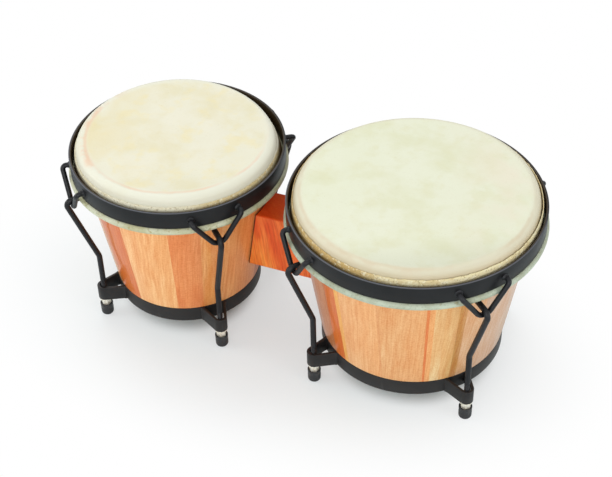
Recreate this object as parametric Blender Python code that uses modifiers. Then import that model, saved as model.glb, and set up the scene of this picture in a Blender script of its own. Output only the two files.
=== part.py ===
"""A pair of tunable hand drums of unlike size, joined by a wooden block.

Each drum is a tapered wooden shell, open below, with a rawhide head lapped round a flesh hoop.
A flat steel rim presses the hoop down. Four bent wire ears on the rim take the hooked ends of four
rods, which run down through the straps of a bottom ring to nuts and rubber feet.
+X runs from the small drum to the large one, +Z is up, and the feet stand at z = 0.
Sizes are in metres.
"""

from dataclasses import dataclass
from math import acos, asin, atan2, cos, hypot, pi, radians, sin, sqrt, tan

import bmesh
import bpy
from mathutils import Matrix, Vector

# Fits
GAP = 0.0003
THREAD_CLEARANCE = 0.00035
HOOP_CLEARANCE = 0.00035
OVERRUN = 0.0030
WELD = 0.000002

# The two drums
HEAD_SPACE = 0.0110
SMALL_TOP_RADIUS = 0.0880
LARGE_TOP_RADIUS = 0.1024
SMALL_WAIST_RADIUS = 0.0673
LARGE_WAIST_RADIUS = 0.0815
SMALL_ROD_BEND_RISE = 0.0355
LARGE_ROD_BEND_RISE = 0.0395
SMALL_LUG_TURN = radians(-0.8)
LARGE_LUG_TURN = radians(1.7)
SMALL_TAIL_HEIGHT = 0.0185
LARGE_TAIL_HEIGHT = 0.0205

# Wooden shell
SHELL_HEIGHT = 0.161
SHELL_WALL = 0.0100
EDGE_WIDTH = 0.0067
EDGE_DROP = 0.0084
EDGE_INNER_FALL = 0.0020
SHELL_INSET = 0.0010

# Rawhide head and the flesh hoop it is lapped round
HIDE_THICKNESS = 0.0009
HOOP_WIRE = 0.0040
COLLAR_FLARE = 0.0006
COLLAR_FLARE_RISE = 0.0003
LAP_START = 190.0
LAP_END = 450.0
TAIL_SET_IN = 0.0013
TAIL_CLEARANCE = 0.0004

# Rim
RIM_STANDOFF = 0.0077
RIM_THICKNESS = 0.0023
RIM_HEIGHT = 0.0170
RIM_DROP = 0.0100

# Wire ears
EAR_WIRE = 0.0046
EAR_STANDOFF = 0.0042
EAR_HALF_WIDTH = 0.0212
EAR_STUB_DROP = 0.0088
EAR_DEPTH = 0.0270
EAR_TOP_BEND = 0.0034
EAR_BOTTOM_BEND = 0.0078

# Tension rods
ROD_DIAMETER = 0.0052
THREAD_DIAMETER = 0.0050
THREAD_RISE = 0.0060
HOOK_TIP = 0.0110
ROD_BEND_RADIUS = 0.0120
ROD_BELOW_NUT = 0.0080

# Bottom ring and its straps
RING_THICKNESS = 0.0020
RING_HEIGHT = 0.0150
STRAP_THICKNESS = 0.0026
STRAP_FOOT_HALF = 0.0120
STRAP_NOSE_RADIUS = 0.0062
LUG_REACH = 0.0166

# Washers, nuts and rubber feet
WASHER_DIAMETER = 0.0114
WASHER_THICKNESS = 0.0016
NUT_ACROSS_FLATS = 0.0080
NUT_HEIGHT = 0.0062
NUT_SUNK = 0.0010
CAP_HEIGHT = 0.0133
CAP_WALL = 0.0010
CAP_FLOOR = 0.0028
CAP_ROUNDING = 0.0030

# Centre block and its bolts
BLOCK_BOTTOM = 0.0675
BLOCK_HEIGHT = 0.0605
BLOCK_THICKNESS = 0.0355
BLOCK_EDGE = 0.0012
BOLT_SPACING = 0.0300
BOLT_DIAMETER = 0.0060
BOLT_TIP_SPACE = 0.0050
BOLT_HEAD_FLATS = 0.0100
BOLT_HEAD_HEIGHT = 0.0040
BOLT_WASHER_DIAMETER = 0.0160
BOLT_WASHER_THICKNESS = 0.0015

# Facets round a turned piece or a wire, and steps along a bend
DRUM_SEGMENTS = 36
SMALL_SEGMENTS = 12
EAR_SIDE_STEPS = 1
ROD_SIDE_STEPS = 2
EDGE_STEPS = 3
LAP_STEPS = 6
HOOP_STEPS = 4
BEND_STEPS = 3
TIGHT_BEND_STEPS = 2
HOOK_STEPS = 4
NOSE_STEPS = 5

CORNERS = {"back_right": 45.0, "back_left": 135.0, "front_left": 225.0, "front_right": 315.0}

# Heights that follow from the stack of foot, nut, washer, ring, shell and head
NUT_BOTTOM = CAP_HEIGHT - NUT_SUNK
NUT_TOP = NUT_BOTTOM + NUT_HEIGHT
WASHER_BOTTOM = NUT_TOP + GAP
RING_BOTTOM = WASHER_BOTTOM + WASHER_THICKNESS + GAP
RING_TOP = RING_BOTTOM + RING_HEIGHT
SHELL_BOTTOM = RING_BOTTOM + SHELL_INSET
SHELL_CREST = SHELL_BOTTOM + SHELL_HEIGHT
EDGE_BOTTOM = SHELL_CREST - EDGE_DROP
HIDE_OFFSET = GAP + HIDE_THICKNESS / 2
HEAD_TOP = SHELL_CREST + GAP + HIDE_THICKNESS
RIM_TOP = HEAD_TOP - RIM_DROP
RIM_BOTTOM = RIM_TOP - RIM_HEIGHT
WRAP_RADIUS = HOOP_WIRE / 2 + HOOP_CLEARANCE + HIDE_THICKNESS / 2
HOOP_HEIGHT = RIM_BOTTOM - GAP - HIDE_THICKNESS / 2 - WRAP_RADIUS
EAR_STUB_HEIGHT = RIM_TOP - EAR_STUB_DROP
EAR_BOTTOM = EAR_STUB_HEIGHT - EAR_DEPTH
HOOK_RADIUS = EAR_WIRE / 2 + ROD_DIAMETER / 2 + GAP
ROD_END = NUT_BOTTOM - ROD_BELOW_NUT
NUT_CORNER = NUT_ACROSS_FLATS / 2 / cos(pi / 6)
THREAD_BORE = THREAD_DIAMETER / 2 + THREAD_CLEARANCE
BLOCK_MIDDLE = BLOCK_BOTTOM + BLOCK_HEIGHT / 2


@dataclass
class Drum:
    """One drum's own sizes, and the radii that follow from them."""

    name: str
    top_radius: float
    waist_radius: float
    bend_rise: float
    lug_turn: float
    tail_height: float
    side: int

    @property
    def slope(self):
        return (self.top_radius - self.waist_radius) / (EDGE_BOTTOM - RING_TOP)

    def shell_radius(self, height):
        """Outer radius of the tapered wall at a height above the floor."""
        return self.waist_radius + self.slope * (height - RING_TOP)

    @property
    def crest_radius(self):
        return self.top_radius - EDGE_WIDTH

    @property
    def rim_radius(self):
        return self.top_radius + RIM_STANDOFF

    @property
    def hoop_radius(self):
        return self.rim_radius - RIM_THICKNESS / 2

    @property
    def wrap_reach(self):
        return self.hoop_radius + WRAP_RADIUS + HIDE_THICKNESS / 2

    @property
    def ear_radius(self):
        return self.rim_radius + EAR_STANDOFF

    @property
    def ring_radius(self):
        return self.waist_radius

    @property
    def rod_radius(self):
        return self.ring_radius + LUG_REACH

    @property
    def bend_height(self):
        return RING_TOP + self.bend_rise


SMALL = Drum(
    "small",
    SMALL_TOP_RADIUS,
    SMALL_WAIST_RADIUS,
    SMALL_ROD_BEND_RISE,
    SMALL_LUG_TURN,
    SMALL_TAIL_HEIGHT,
    -1,
)
LARGE = Drum(
    "large",
    LARGE_TOP_RADIUS,
    LARGE_WAIST_RADIUS,
    LARGE_ROD_BEND_RISE,
    LARGE_LUG_TURN,
    LARGE_TAIL_HEIGHT,
    1,
)

# The lapped hoops are the widest pieces: a clear space lies between them, and the pair's length
# ends at them, with the origin in its middle
DRUM_SPACING = SMALL.wrap_reach + HEAD_SPACE + LARGE.wrap_reach
LENGTH_SHIFT = (LARGE.wrap_reach - SMALL.wrap_reach) / 2


def axis_x(drum):
    """X of a drum's upright axis."""
    return drum.side * DRUM_SPACING / 2 - LENGTH_SHIFT


def clear_scene():
    for obj in list(bpy.data.objects):
        bpy.data.objects.remove(obj, do_unlink=True)


def make_collection(name):
    collection = bpy.data.collections.new(name)
    bpy.context.scene.collection.children.link(collection)
    return collection


def make_material(name, color, roughness, metallic):
    material = bpy.data.materials.new(name)
    material.use_nodes = True
    shader = material.node_tree.nodes["Principled BSDF"]
    shader.inputs["Base Color"].default_value = (*color, 1.0)
    shader.inputs["Roughness"].default_value = roughness
    shader.inputs["Metallic"].default_value = metallic
    return material


clear_scene()
PARTS = make_collection("bongos")
CUTTERS = make_collection("cutters")
SHELL_WOOD = make_material("lacquered_stave_wood", (0.72, 0.36, 0.16), 0.25, 0.0)
BLOCK_WOOD = make_material("red_block_wood", (0.56, 0.11, 0.03), 0.35, 0.0)
RAWHIDE = make_material("rawhide", (0.84, 0.79, 0.60), 0.55, 0.0)
BLACK_STEEL = make_material("black_coated_steel", (0.03, 0.03, 0.032), 0.42, 0.6)
ZINC = make_material("zinc_plated_steel", (0.62, 0.61, 0.57), 0.30, 1.0)
RUBBER = make_material("black_rubber", (0.025, 0.025, 0.025), 0.75, 0.0)


def add_object(name, data, material, parent=None, collection=None):
    """An object for a mesh or curve, in the parts' collection unless another is given."""
    obj = bpy.data.objects.new(name, data)
    (collection or PARTS).objects.link(obj)
    if material and not data.materials:
        data.materials.append(material)
    obj.parent = parent
    return obj


def add_empty(name, location, parent=None):
    empty = bpy.data.objects.new(name, None)
    PARTS.objects.link(empty)
    empty.location = location
    empty.parent = parent
    return empty


def profile_mesh(name, points, closed):
    """Vertices and edges of a turned piece's profile, given as (radius, height) pairs."""
    mesh = bpy.data.meshes.new(name)
    edges = [(i, i + 1) for i in range(len(points) - 1)]
    if closed:
        edges.append((len(points) - 1, 0))
    mesh.from_pydata([(radius, 0.0, height) for radius, height in points], edges, [])
    return mesh


def add_turned(name, points, material, parent, closed=True, segments=DRUM_SEGMENTS, collection=None):
    """A piece turned about its own Z axis from a profile that runs down its outer side."""
    obj = add_object(name, profile_mesh(name, points, closed), material, parent, collection)
    screw = obj.modifiers.new("turn", "SCREW")
    screw.axis = "Z"
    screw.angle = 2 * pi
    screw.steps = segments
    screw.render_steps = segments
    screw.use_merge_vertices = True
    screw.merge_threshold = 0.00002
    screw.use_smooth_shade = True
    return obj


def arc(center, radius_x, radius_y, start, end, steps):
    """Points along an elliptical arc, from one angle to another in degrees, both ends included."""
    angles = [radians(start + (end - start) * i / steps) for i in range(steps + 1)]
    return [(center[0] + radius_x * cos(a), center[1] + radius_y * sin(a)) for a in angles]


def rounded_path(corners, turns):
    """A path through corner points. turns gives each inner corner's arc as its radius and steps."""
    corners = [Vector(corner) for corner in corners]
    path = [corners[0]]
    for before, corner, after, (radius, steps) in zip(corners, corners[1:], corners[2:], turns):
        to_before = (before - corner).normalized()
        to_after = (after - corner).normalized()
        half_angle = to_before.angle(to_after) / 2
        middle = corner + (to_before + to_after).normalized() * (radius / sin(half_angle))
        first = corner + to_before * (radius / tan(half_angle)) - middle
        last = corner + to_after * (radius / tan(half_angle)) - middle
        sweep = first.angle(last)
        for i in range(steps + 1):
            near = sin(sweep * (1 - i / steps)) / sin(sweep)
            far = sin(sweep * i / steps) / sin(sweep)
            path.append(middle + first * near + last * far)
    path.append(corners[-1])
    return path


def wire_curve(name, path, diameter, side_resolution, widths=None):
    """A round wire along a path. widths scales the wire at each point of the path."""
    curve = bpy.data.curves.new(name, "CURVE")
    curve.dimensions = "3D"
    curve.bevel_depth = diameter / 2
    curve.bevel_resolution = side_resolution
    curve.use_fill_caps = True
    spline = curve.splines.new("POLY")
    spline.points.add(len(path) - 1)
    for i, (point, place) in enumerate(zip(spline.points, path)):
        point.co = (*place, 1.0)
        point.radius = widths[i] if widths else 1.0
    spline.use_smooth = True
    return curve


def add_cylinder(name, radius, length, segments, matrix, parent=None, collection=None, material=None):
    """A cylinder standing on its base, turned and moved by a matrix."""
    mesh = bpy.data.meshes.new(name)
    shape = bmesh.new()
    bmesh.ops.create_cone(
        shape, cap_ends=True, segments=segments, radius1=radius, radius2=radius, depth=length
    )
    bmesh.ops.translate(shape, vec=(0, 0, length / 2), verts=shape.verts)
    shape.to_mesh(mesh)
    shape.free()
    obj = add_object(name, mesh, material, parent, collection)
    obj.matrix_world = matrix
    return obj


def hide_cutter(obj):
    obj.hide_render = True
    obj.display_type = "WIRE"


def cut(obj, cutter, operation="DIFFERENCE"):
    boolean = obj.modifiers.new(cutter.name, "BOOLEAN")
    boolean.operation = operation
    boolean.solver = "EXACT"
    boolean.object = cutter
    hide_cutter(cutter)


def bolt_grip():
    """Reach of the bolts into the block, the same for all four, from its narrower upper pair."""
    height = BLOCK_MIDDLE + BOLT_SPACING / 2
    span = DRUM_SPACING - SMALL.shell_radius(height) - LARGE.shell_radius(height)
    return (span - BOLT_TIP_SPACE) / 2


def bolt_frames(drum):
    """Places of a drum's two block bolts: origin on the shell's outer wall, Z square to it and inward."""
    frames = []
    tilt = atan2(drum.slope, 1.0)
    toward_block = -drum.side
    for name, offset in (("lower", -BOLT_SPACING / 2), ("upper", BOLT_SPACING / 2)):
        height = BLOCK_MIDDLE + offset
        place = Vector((axis_x(drum) + toward_block * drum.shell_radius(height), 0, height))
        inward = Vector((-toward_block * cos(tilt), 0, sin(tilt)))
        turn = inward.to_track_quat("Z", "Y").to_matrix().to_4x4()
        frames.append((name, Matrix.Translation(place) @ turn))
    return frames


def shell_profile(drum):
    """The wall's section: rounded top edge, outer taper, foot turned down for the ring, inner taper."""
    wall_run = SHELL_WALL / cos(atan2(drum.slope, 1.0))
    foot_radius = drum.ring_radius - RING_THICKNESS - GAP
    inner_top = drum.top_radius - wall_run
    inner_foot = drum.shell_radius(SHELL_BOTTOM) - wall_run
    edge = arc((drum.crest_radius, EDGE_BOTTOM), EDGE_WIDTH, EDGE_DROP, 90, 0, EDGE_STEPS)
    step = RING_TOP + GAP
    return edge + [
        (drum.shell_radius(step), step),
        (foot_radius, step),
        (foot_radius, SHELL_BOTTOM),
        (inner_foot, SHELL_BOTTOM),
        (inner_top, EDGE_BOTTOM),
        (inner_top, SHELL_CREST - EDGE_INNER_FALL),
    ]


def add_shell(drum, base):
    shell = add_turned(f"{drum.name}_shell", shell_profile(drum), SHELL_WOOD, base)
    for name, frame in bolt_frames(drum):
        hole = add_cylinder(
            f"{drum.name}_{name}_bolt_hole",
            BOLT_DIAMETER / 2 + THREAD_CLEARANCE,
            SHELL_WALL + OVERRUN * 2,
            SMALL_SEGMENTS,
            frame @ Matrix.Translation((0, 0, -OVERRUN)),
            collection=CUTTERS,
        )
        cut(shell, hole)
    return shell


def hide_path(drum):
    """The middle of the hide: flat top, crown, collar, lap round the hoop, and tail leant on the collar."""
    middle = (drum.crest_radius, EDGE_BOTTOM)
    crown = arc(middle, EDGE_WIDTH + HIDE_OFFSET, EDGE_DROP + HIDE_OFFSET, 90, 0, EDGE_STEPS)
    collar_radius = crown[-1][0]
    flare = (collar_radius + COLLAR_FLARE, RIM_BOTTOM + COLLAR_FLARE_RISE)
    hoop = (drum.hoop_radius, HOOP_HEIGHT)
    lap = arc(hoop, WRAP_RADIUS, WRAP_RADIUS, LAP_START, LAP_END, LAP_STEPS)
    inside_rim = drum.rim_radius - RIM_THICKNESS - GAP
    under_rim = (inside_rim, HOOP_HEIGHT + WRAP_RADIUS)
    tail_foot = (inside_rim - TAIL_SET_IN, RIM_BOTTOM + HIDE_THICKNESS)
    tail_end = (collar_radius + HIDE_THICKNESS + TAIL_CLEARANCE, RIM_BOTTOM + drum.tail_height)
    return [(0.0, crown[0][1])] + crown + [flare] + lap + [under_rim, tail_foot, tail_end]


def add_head(drum, rider):
    head = add_turned(f"{drum.name}_head", hide_path(drum), RAWHIDE, rider, closed=False)
    solid = head.modifiers.new("hide", "SOLIDIFY")
    solid.thickness = HIDE_THICKNESS
    solid.offset = 0.0
    solid.use_even_offset = True
    return head


def add_flesh_hoop(drum, rider):
    last = 90 - 360 * HOOP_STEPS / (HOOP_STEPS + 1)
    middle = (drum.hoop_radius, HOOP_HEIGHT)
    section = arc(middle, HOOP_WIRE / 2, HOOP_WIRE / 2, 90, last, HOOP_STEPS)
    return add_turned(f"{drum.name}_flesh_hoop", section, ZINC, rider)


def add_rim(drum, rider):
    inner = drum.rim_radius - RIM_THICKNESS
    section = [
        (inner, RIM_TOP),
        (drum.rim_radius, RIM_TOP),
        (drum.rim_radius, RIM_BOTTOM),
        (inner, RIM_BOTTOM),
    ]
    return add_turned(f"{drum.name}_rim", section, BLACK_STEEL, rider)


def ear_path(drum):
    """The bent wire of one ear, for the ear at azimuth 0: stub, leg, rounded bottom, leg, stub."""
    half_turn = asin(EAR_HALF_WIDTH / drum.rim_radius)
    root = drum.rim_radius + GAP
    side = drum.ear_radius * tan(half_turn)
    leg_angle = ear_leg_angle(side)
    point = EAR_BOTTOM - EAR_BOTTOM_BEND * (1 / sin(leg_angle) - 1)
    corners = [
        (root * cos(half_turn), -root * sin(half_turn), EAR_STUB_HEIGHT),
        (drum.ear_radius, -side, EAR_STUB_HEIGHT),
        (drum.ear_radius, 0.0, point),
        (drum.ear_radius, side, EAR_STUB_HEIGHT),
        (root * cos(half_turn), root * sin(half_turn), EAR_STUB_HEIGHT),
    ]
    top_bend = (EAR_TOP_BEND, TIGHT_BEND_STEPS)
    return rounded_path(corners, (top_bend, (EAR_BOTTOM_BEND, BEND_STEPS), top_bend))


def ear_leg_angle(side):
    """Angle between an ear's leg and the vertical, so that its rounded bottom lies at EAR_BOTTOM."""
    rise = EAR_DEPTH - EAR_BOTTOM_BEND
    return atan2(side, rise) - asin(EAR_BOTTOM_BEND / hypot(side, rise))


def rod_path(drum):
    """The rod's middle line at azimuth 0: hook tip, bend over the ear, slant, bend, threaded end."""
    ear = Vector((drum.ear_radius, EAR_BOTTOM))
    bend = Vector((drum.rod_radius, drum.bend_height))
    fall = bend - ear
    slant = atan2(-fall.x, -fall.y) + asin(HOOK_RADIUS / fall.length)
    hook = [
        (ear.x + HOOK_RADIUS * sin(slant_at), 0.0, ear.y + HOOK_RADIUS * cos(slant_at))
        for slant_at in [(pi / 2 + slant) * i / HOOK_STEPS for i in range(HOOK_STEPS + 1)]
    ]
    tip = (ear.x - HOOK_TIP, 0.0, ear.y + HOOK_RADIUS)
    corners = [hook[-1], (bend.x, 0.0, bend.y), (bend.x, 0.0, ROD_END)]
    turn = rounded_path(corners, ((ROD_BEND_RADIUS, BEND_STEPS),))
    thread_top = RING_TOP + THREAD_RISE
    thread = [(bend.x, 0.0, thread_top), (bend.x, 0.0, thread_top - GAP), (bend.x, 0.0, ROD_END)]
    return [tip] + hook + [tuple(point) for point in turn[1:-1]] + thread


def lug_azimuth(drum, corner):
    return radians(CORNERS[corner]) + drum.lug_turn


def add_ears_and_rods(drum, rider):
    ear = wire_curve(f"{drum.name}_ear", ear_path(drum), EAR_WIRE, EAR_SIDE_STEPS)
    path = rod_path(drum)
    widths = [1.0] * (len(path) - 2) + [THREAD_DIAMETER / ROD_DIAMETER] * 2
    rod = wire_curve(f"{drum.name}_rod", path, ROD_DIAMETER, ROD_SIDE_STEPS, widths)
    for corner in CORNERS:
        for kind, curve in (("ear", ear), ("rod", rod)):
            piece = add_object(f"{drum.name}_{kind}_{corner}", curve, BLACK_STEEL, rider)
            piece.rotation_euler.z = lug_azimuth(drum, corner)


def strap_mesh(drum):
    """A strap's strip, bent in plan from the ring out round the rod and back, as a closed prism."""
    nose_outer = STRAP_NOSE_RADIUS
    nose_inner = nose_outer - STRAP_THICKNESS
    foot_x = sqrt((drum.ring_radius - RING_THICKNESS / 2) ** 2 - STRAP_FOOT_HALF**2)
    outline = []
    for nose, half, order in ((nose_outer, STRAP_FOOT_HALF, 1), (nose_inner, None, -1)):
        half = half or STRAP_FOOT_HALF - STRAP_THICKNESS / cos(strap_angle(drum, foot_x))
        foot = Vector((foot_x - drum.rod_radius, half))
        start = atan2(foot.y, foot.x) - acos(nose / foot.length)
        angles = [start * step / NOSE_STEPS for step in range(NOSE_STEPS, -NOSE_STEPS - 1, -1)]
        side = [(foot.x, foot.y)]
        side += [(nose * cos(angle), nose * sin(angle)) for angle in angles]
        side += [(foot.x, -foot.y)]
        outline += side[::order]
    strip = bpy.data.curves.new(f"{drum.name}_strap", "CURVE")
    strip.dimensions = "2D"
    strip.fill_mode = "BOTH"
    strip.extrude = RING_HEIGHT / 2
    spline = strip.splines.new("POLY")
    spline.points.add(len(outline) - 1)
    for point, (x, y) in zip(spline.points, outline):
        point.co = (x, y, 0.0, 1.0)
    spline.use_cyclic_u = True
    return solid_from_curve(strip)


def strap_angle(drum, foot_x):
    """How far a strap's leg leans from the line between the rod and the drum's axis."""
    return atan2(STRAP_FOOT_HALF - STRAP_NOSE_RADIUS, drum.rod_radius - foot_x)


def solid_from_curve(curve):
    """A closed mesh made from a filled curve, with its caps welded to its sides."""
    holder = bpy.data.objects.new(curve.name, curve)
    bpy.context.scene.collection.objects.link(holder)
    graph = bpy.context.evaluated_depsgraph_get()
    mesh = bpy.data.meshes.new_from_object(holder.evaluated_get(graph))
    bpy.data.objects.remove(holder, do_unlink=True)
    shape = bmesh.new()
    shape.from_mesh(mesh)
    bmesh.ops.remove_doubles(shape, verts=shape.verts, dist=WELD)
    bmesh.ops.recalc_face_normals(shape, faces=shape.faces)
    shape.to_mesh(mesh)
    shape.free()
    return mesh


def add_bottom_ring(drum, base):
    """The flat band round the shell's foot, with four straps welded on that hold the rods."""
    inner = drum.ring_radius - RING_THICKNESS
    section = [
        (inner, RING_TOP),
        (drum.ring_radius, RING_TOP),
        (drum.ring_radius, RING_BOTTOM),
        (inner, RING_BOTTOM),
    ]
    ring = add_turned(f"{drum.name}_bottom_ring", section, BLACK_STEEL, base)
    mesh = strap_mesh(drum)
    for corner in CORNERS:
        azimuth = lug_azimuth(drum, corner)
        strap = add_object(f"{drum.name}_strap_{corner}", mesh, BLACK_STEEL, base, CUTTERS)
        strap.location = polar(drum.rod_radius, azimuth, RING_BOTTOM + RING_HEIGHT / 2)
        strap.rotation_euler.z = azimuth
        cut(ring, strap, "UNION")
    return ring


def polar(radius, azimuth, height):
    return Vector((radius * cos(azimuth), radius * sin(azimuth), height))


def washer_profile(bore, radius, thickness):
    return [(bore, thickness), (radius, thickness), (radius, 0.0), (bore, 0.0)]


def cap_profile():
    """A rubber foot: socket for the nut above, narrower well for the rod's end, rounded base."""
    socket = NUT_CORNER + GAP
    outer = socket + CAP_WALL
    well = THREAD_BORE
    seat = NUT_BOTTOM - GAP
    base = arc((outer - CAP_ROUNDING, CAP_ROUNDING), CAP_ROUNDING, CAP_ROUNDING, 0, -90, 2)
    inside = [(0.0, CAP_FLOOR), (well, CAP_FLOOR), (well, seat), (socket, seat), (socket, CAP_HEIGHT)]
    return inside + [(outer, CAP_HEIGHT)] + base + [(0.0, 0.0)]


def hex_mesh(name, across_flats, height, bore):
    """A hexagonal prism on its base, with a round hole through it where a bore is given."""
    mesh = bpy.data.meshes.new(name)
    shape = bmesh.new()
    radius = across_flats / 2 / cos(pi / 6)
    bmesh.ops.create_cone(
        shape, cap_ends=not bore, segments=6, radius1=radius, radius2=radius, depth=height
    )
    if bore:
        bmesh.ops.create_cone(
            shape, cap_ends=False, segments=SMALL_SEGMENTS, radius1=bore, radius2=bore, depth=height
        )
        for level in (-height / 2, height / 2):
            rim = [e for e in shape.edges if all(abs(v.co.z - level) < WELD for v in e.verts)]
            bmesh.ops.triangle_fill(shape, use_beauty=True, edges=rim)
        bmesh.ops.recalc_face_normals(shape, faces=shape.faces)
    bmesh.ops.translate(shape, vec=(0, 0, height / 2), verts=shape.verts)
    shape.to_mesh(mesh)
    shape.free()
    return mesh


def add_feet(drum, base):
    """At each lug: a washer under the strap, and a nut and rubber foot that turn on the rod's axis."""
    nut_mesh = hex_mesh(f"{drum.name}_nut", NUT_ACROSS_FLATS, NUT_HEIGHT, THREAD_BORE)
    for corner in CORNERS:
        azimuth = lug_azimuth(drum, corner)
        pivot = add_empty(f"{drum.name}_nut_pivot_{corner}", polar(drum.rod_radius, azimuth, 0.0), base)
        pivot.rotation_euler.z = azimuth
        washer = add_turned(
            f"{drum.name}_washer_{corner}",
            washer_profile(THREAD_BORE, WASHER_DIAMETER / 2, WASHER_THICKNESS),
            ZINC,
            base,
            segments=SMALL_SEGMENTS,
        )
        washer.location = polar(drum.rod_radius, azimuth, WASHER_BOTTOM)
        nut = add_object(f"{drum.name}_nut_{corner}", nut_mesh, ZINC, pivot)
        nut.location.z = NUT_BOTTOM
        add_turned(
            f"{drum.name}_foot_{corner}",
            cap_profile(),
            RUBBER,
            pivot,
            closed=False,
            segments=SMALL_SEGMENTS,
        )


def add_block():
    """The block between the shells, its ends hollowed to their taper and bored for the bolts."""
    block_mesh = bpy.data.meshes.new("centre_block")
    shape = bmesh.new()
    bmesh.ops.create_cube(shape, size=1.0)
    left = axis_x(SMALL) + SMALL.shell_radius(BLOCK_BOTTOM) / 2
    right = axis_x(LARGE) - LARGE.shell_radius(BLOCK_BOTTOM) / 2
    size = (right - left, BLOCK_THICKNESS, BLOCK_HEIGHT)
    bmesh.ops.scale(shape, vec=size, verts=shape.verts)
    shape.to_mesh(block_mesh)
    shape.free()
    block = add_object("centre_block", block_mesh, BLOCK_WOOD)
    block.location = ((left + right) / 2, 0.0, BLOCK_MIDDLE)
    bevel = block.modifiers.new("eased_edges", "BEVEL")
    bevel.width = BLOCK_EDGE
    bevel.segments = 1
    for drum in (SMALL, LARGE):
        low = BLOCK_BOTTOM - OVERRUN
        high = BLOCK_BOTTOM + BLOCK_HEIGHT + OVERRUN
        taper = [
            (0.0, high),
            (drum.shell_radius(high) + GAP, high),
            (drum.shell_radius(low) + GAP, low),
            (0.0, low),
        ]
        hollow = add_turned(
            f"{drum.name}_block_hollow", taper, None, None, closed=False, collection=CUTTERS
        )
        hollow.location.x = axis_x(drum)
        cut(block, hollow)
        for name, frame in bolt_frames(drum):
            bore = add_cylinder(
                f"{drum.name}_{name}_block_bore",
                BOLT_DIAMETER / 2 + THREAD_CLEARANCE,
                bolt_grip() + GAP + OVERRUN,
                SMALL_SEGMENTS,
                frame @ Matrix.Translation((0, 0, -bolt_grip() - GAP)),
                collection=CUTTERS,
            )
            cut(block, bore)
    return block


def add_block_bolts(drum):
    """Two bolts with washers, put in from inside the shell and screwed into the block."""
    sag = drum.shell_radius(BLOCK_MIDDLE) - SHELL_WALL
    lift = sag - sqrt(sag**2 - (BOLT_WASHER_DIAMETER / 2) ** 2)
    washer_seat = SHELL_WALL + GAP + lift
    head_seat = washer_seat + BOLT_WASHER_THICKNESS + GAP
    for name, frame in bolt_frames(drum):
        washer = add_turned(
            f"{drum.name}_block_washer_{name}",
            washer_profile(BOLT_DIAMETER / 2 + GAP, BOLT_WASHER_DIAMETER / 2, BOLT_WASHER_THICKNESS),
            ZINC,
            None,
            segments=SMALL_SEGMENTS,
        )
        washer.matrix_world = frame @ Matrix.Translation((0, 0, washer_seat))
        head = hex_mesh(f"{drum.name}_block_bolt_{name}", BOLT_HEAD_FLATS, BOLT_HEAD_HEIGHT, 0.0)
        bolt = add_object(f"{drum.name}_block_bolt_{name}", head, ZINC)
        bolt.matrix_world = frame @ Matrix.Translation((0, 0, head_seat))
        shank = add_cylinder(
            f"{drum.name}_{name}_bolt_shank",
            BOLT_DIAMETER / 2,
            bolt_grip() + head_seat + BOLT_HEAD_HEIGHT / 2,
            SMALL_SEGMENTS,
            frame @ Matrix.Translation((0, 0, -bolt_grip())),
            collection=CUTTERS,
            material=ZINC,
        )
        cut(bolt, shank, "UNION")


def add_drum(drum):
    base = add_empty(f"{drum.name}_drum", (axis_x(drum), 0.0, 0.0))
    rider = add_empty(f"{drum.name}_head_slide", (0.0, 0.0, 0.0), base)
    add_shell(drum, base)
    add_bottom_ring(drum, base)
    add_head(drum, rider)
    add_flesh_hoop(drum, rider)
    add_rim(drum, rider)
    add_ears_and_rods(drum, rider)
    add_feet(drum, base)
    add_block_bolts(drum)


for each_drum in (SMALL, LARGE):
    add_drum(each_drum)
add_block()
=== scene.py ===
"""The looks of a pair of joined hand drums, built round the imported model.

The sections follow the drums as they are put together, from the wooden shells to the rubber feet.
Sizes are in metres. +X runs from the small drum to the large one, and +Z is up.
"""

from math import acos, asin, atan2, cos, hypot, pi, radians, sin, sqrt, tan

import bmesh
import bpy
from mathutils import Matrix, Vector, noise


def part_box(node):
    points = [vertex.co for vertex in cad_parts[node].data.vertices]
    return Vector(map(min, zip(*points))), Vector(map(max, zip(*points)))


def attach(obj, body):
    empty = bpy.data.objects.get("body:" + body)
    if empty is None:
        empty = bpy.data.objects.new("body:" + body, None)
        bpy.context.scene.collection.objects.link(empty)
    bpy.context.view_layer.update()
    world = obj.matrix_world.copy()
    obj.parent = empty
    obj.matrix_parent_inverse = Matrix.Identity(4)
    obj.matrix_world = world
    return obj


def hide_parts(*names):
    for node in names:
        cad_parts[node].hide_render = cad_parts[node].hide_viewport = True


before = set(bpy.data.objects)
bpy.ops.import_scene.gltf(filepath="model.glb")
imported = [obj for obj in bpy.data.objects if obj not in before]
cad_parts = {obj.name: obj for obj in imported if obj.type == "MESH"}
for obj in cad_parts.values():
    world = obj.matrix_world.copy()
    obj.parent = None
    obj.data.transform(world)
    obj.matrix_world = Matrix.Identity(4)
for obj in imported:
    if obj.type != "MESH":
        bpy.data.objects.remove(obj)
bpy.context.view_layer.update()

# Camera, lamps and floor
# A long lens looks down on the pair from in front and a little to the right. Four wide soft boxes
# and a bright room light it, and the plain floor fades to white.
CAMERA_PLACE = (0.36498, -0.88125, 0.94424)
CAMERA_TURN = (48.380, 1.213, 21.293)
CAMERA_LENS = 84.02
CAMERA_FILM = 36.0
LAMP_AIM = Vector((0.0, 0.0, 0.10))
# Each lamp's place, width and power in watts
LAMPS = {
    "back_left_softbox": ((-0.75, 0.95, 1.75), 1.3, 9.0),
    "left_softbox": ((-1.75, -0.55, 0.75), 1.1, 9.0),
    "front_softbox": ((0.35, -1.90, 1.00), 1.5, 14.5),
    "right_softbox": ((1.80, -0.35, 0.70), 1.0, 7.5),
}
ROOM_LIGHT = 0.60
FLOOR_HALF = 4.0
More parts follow.
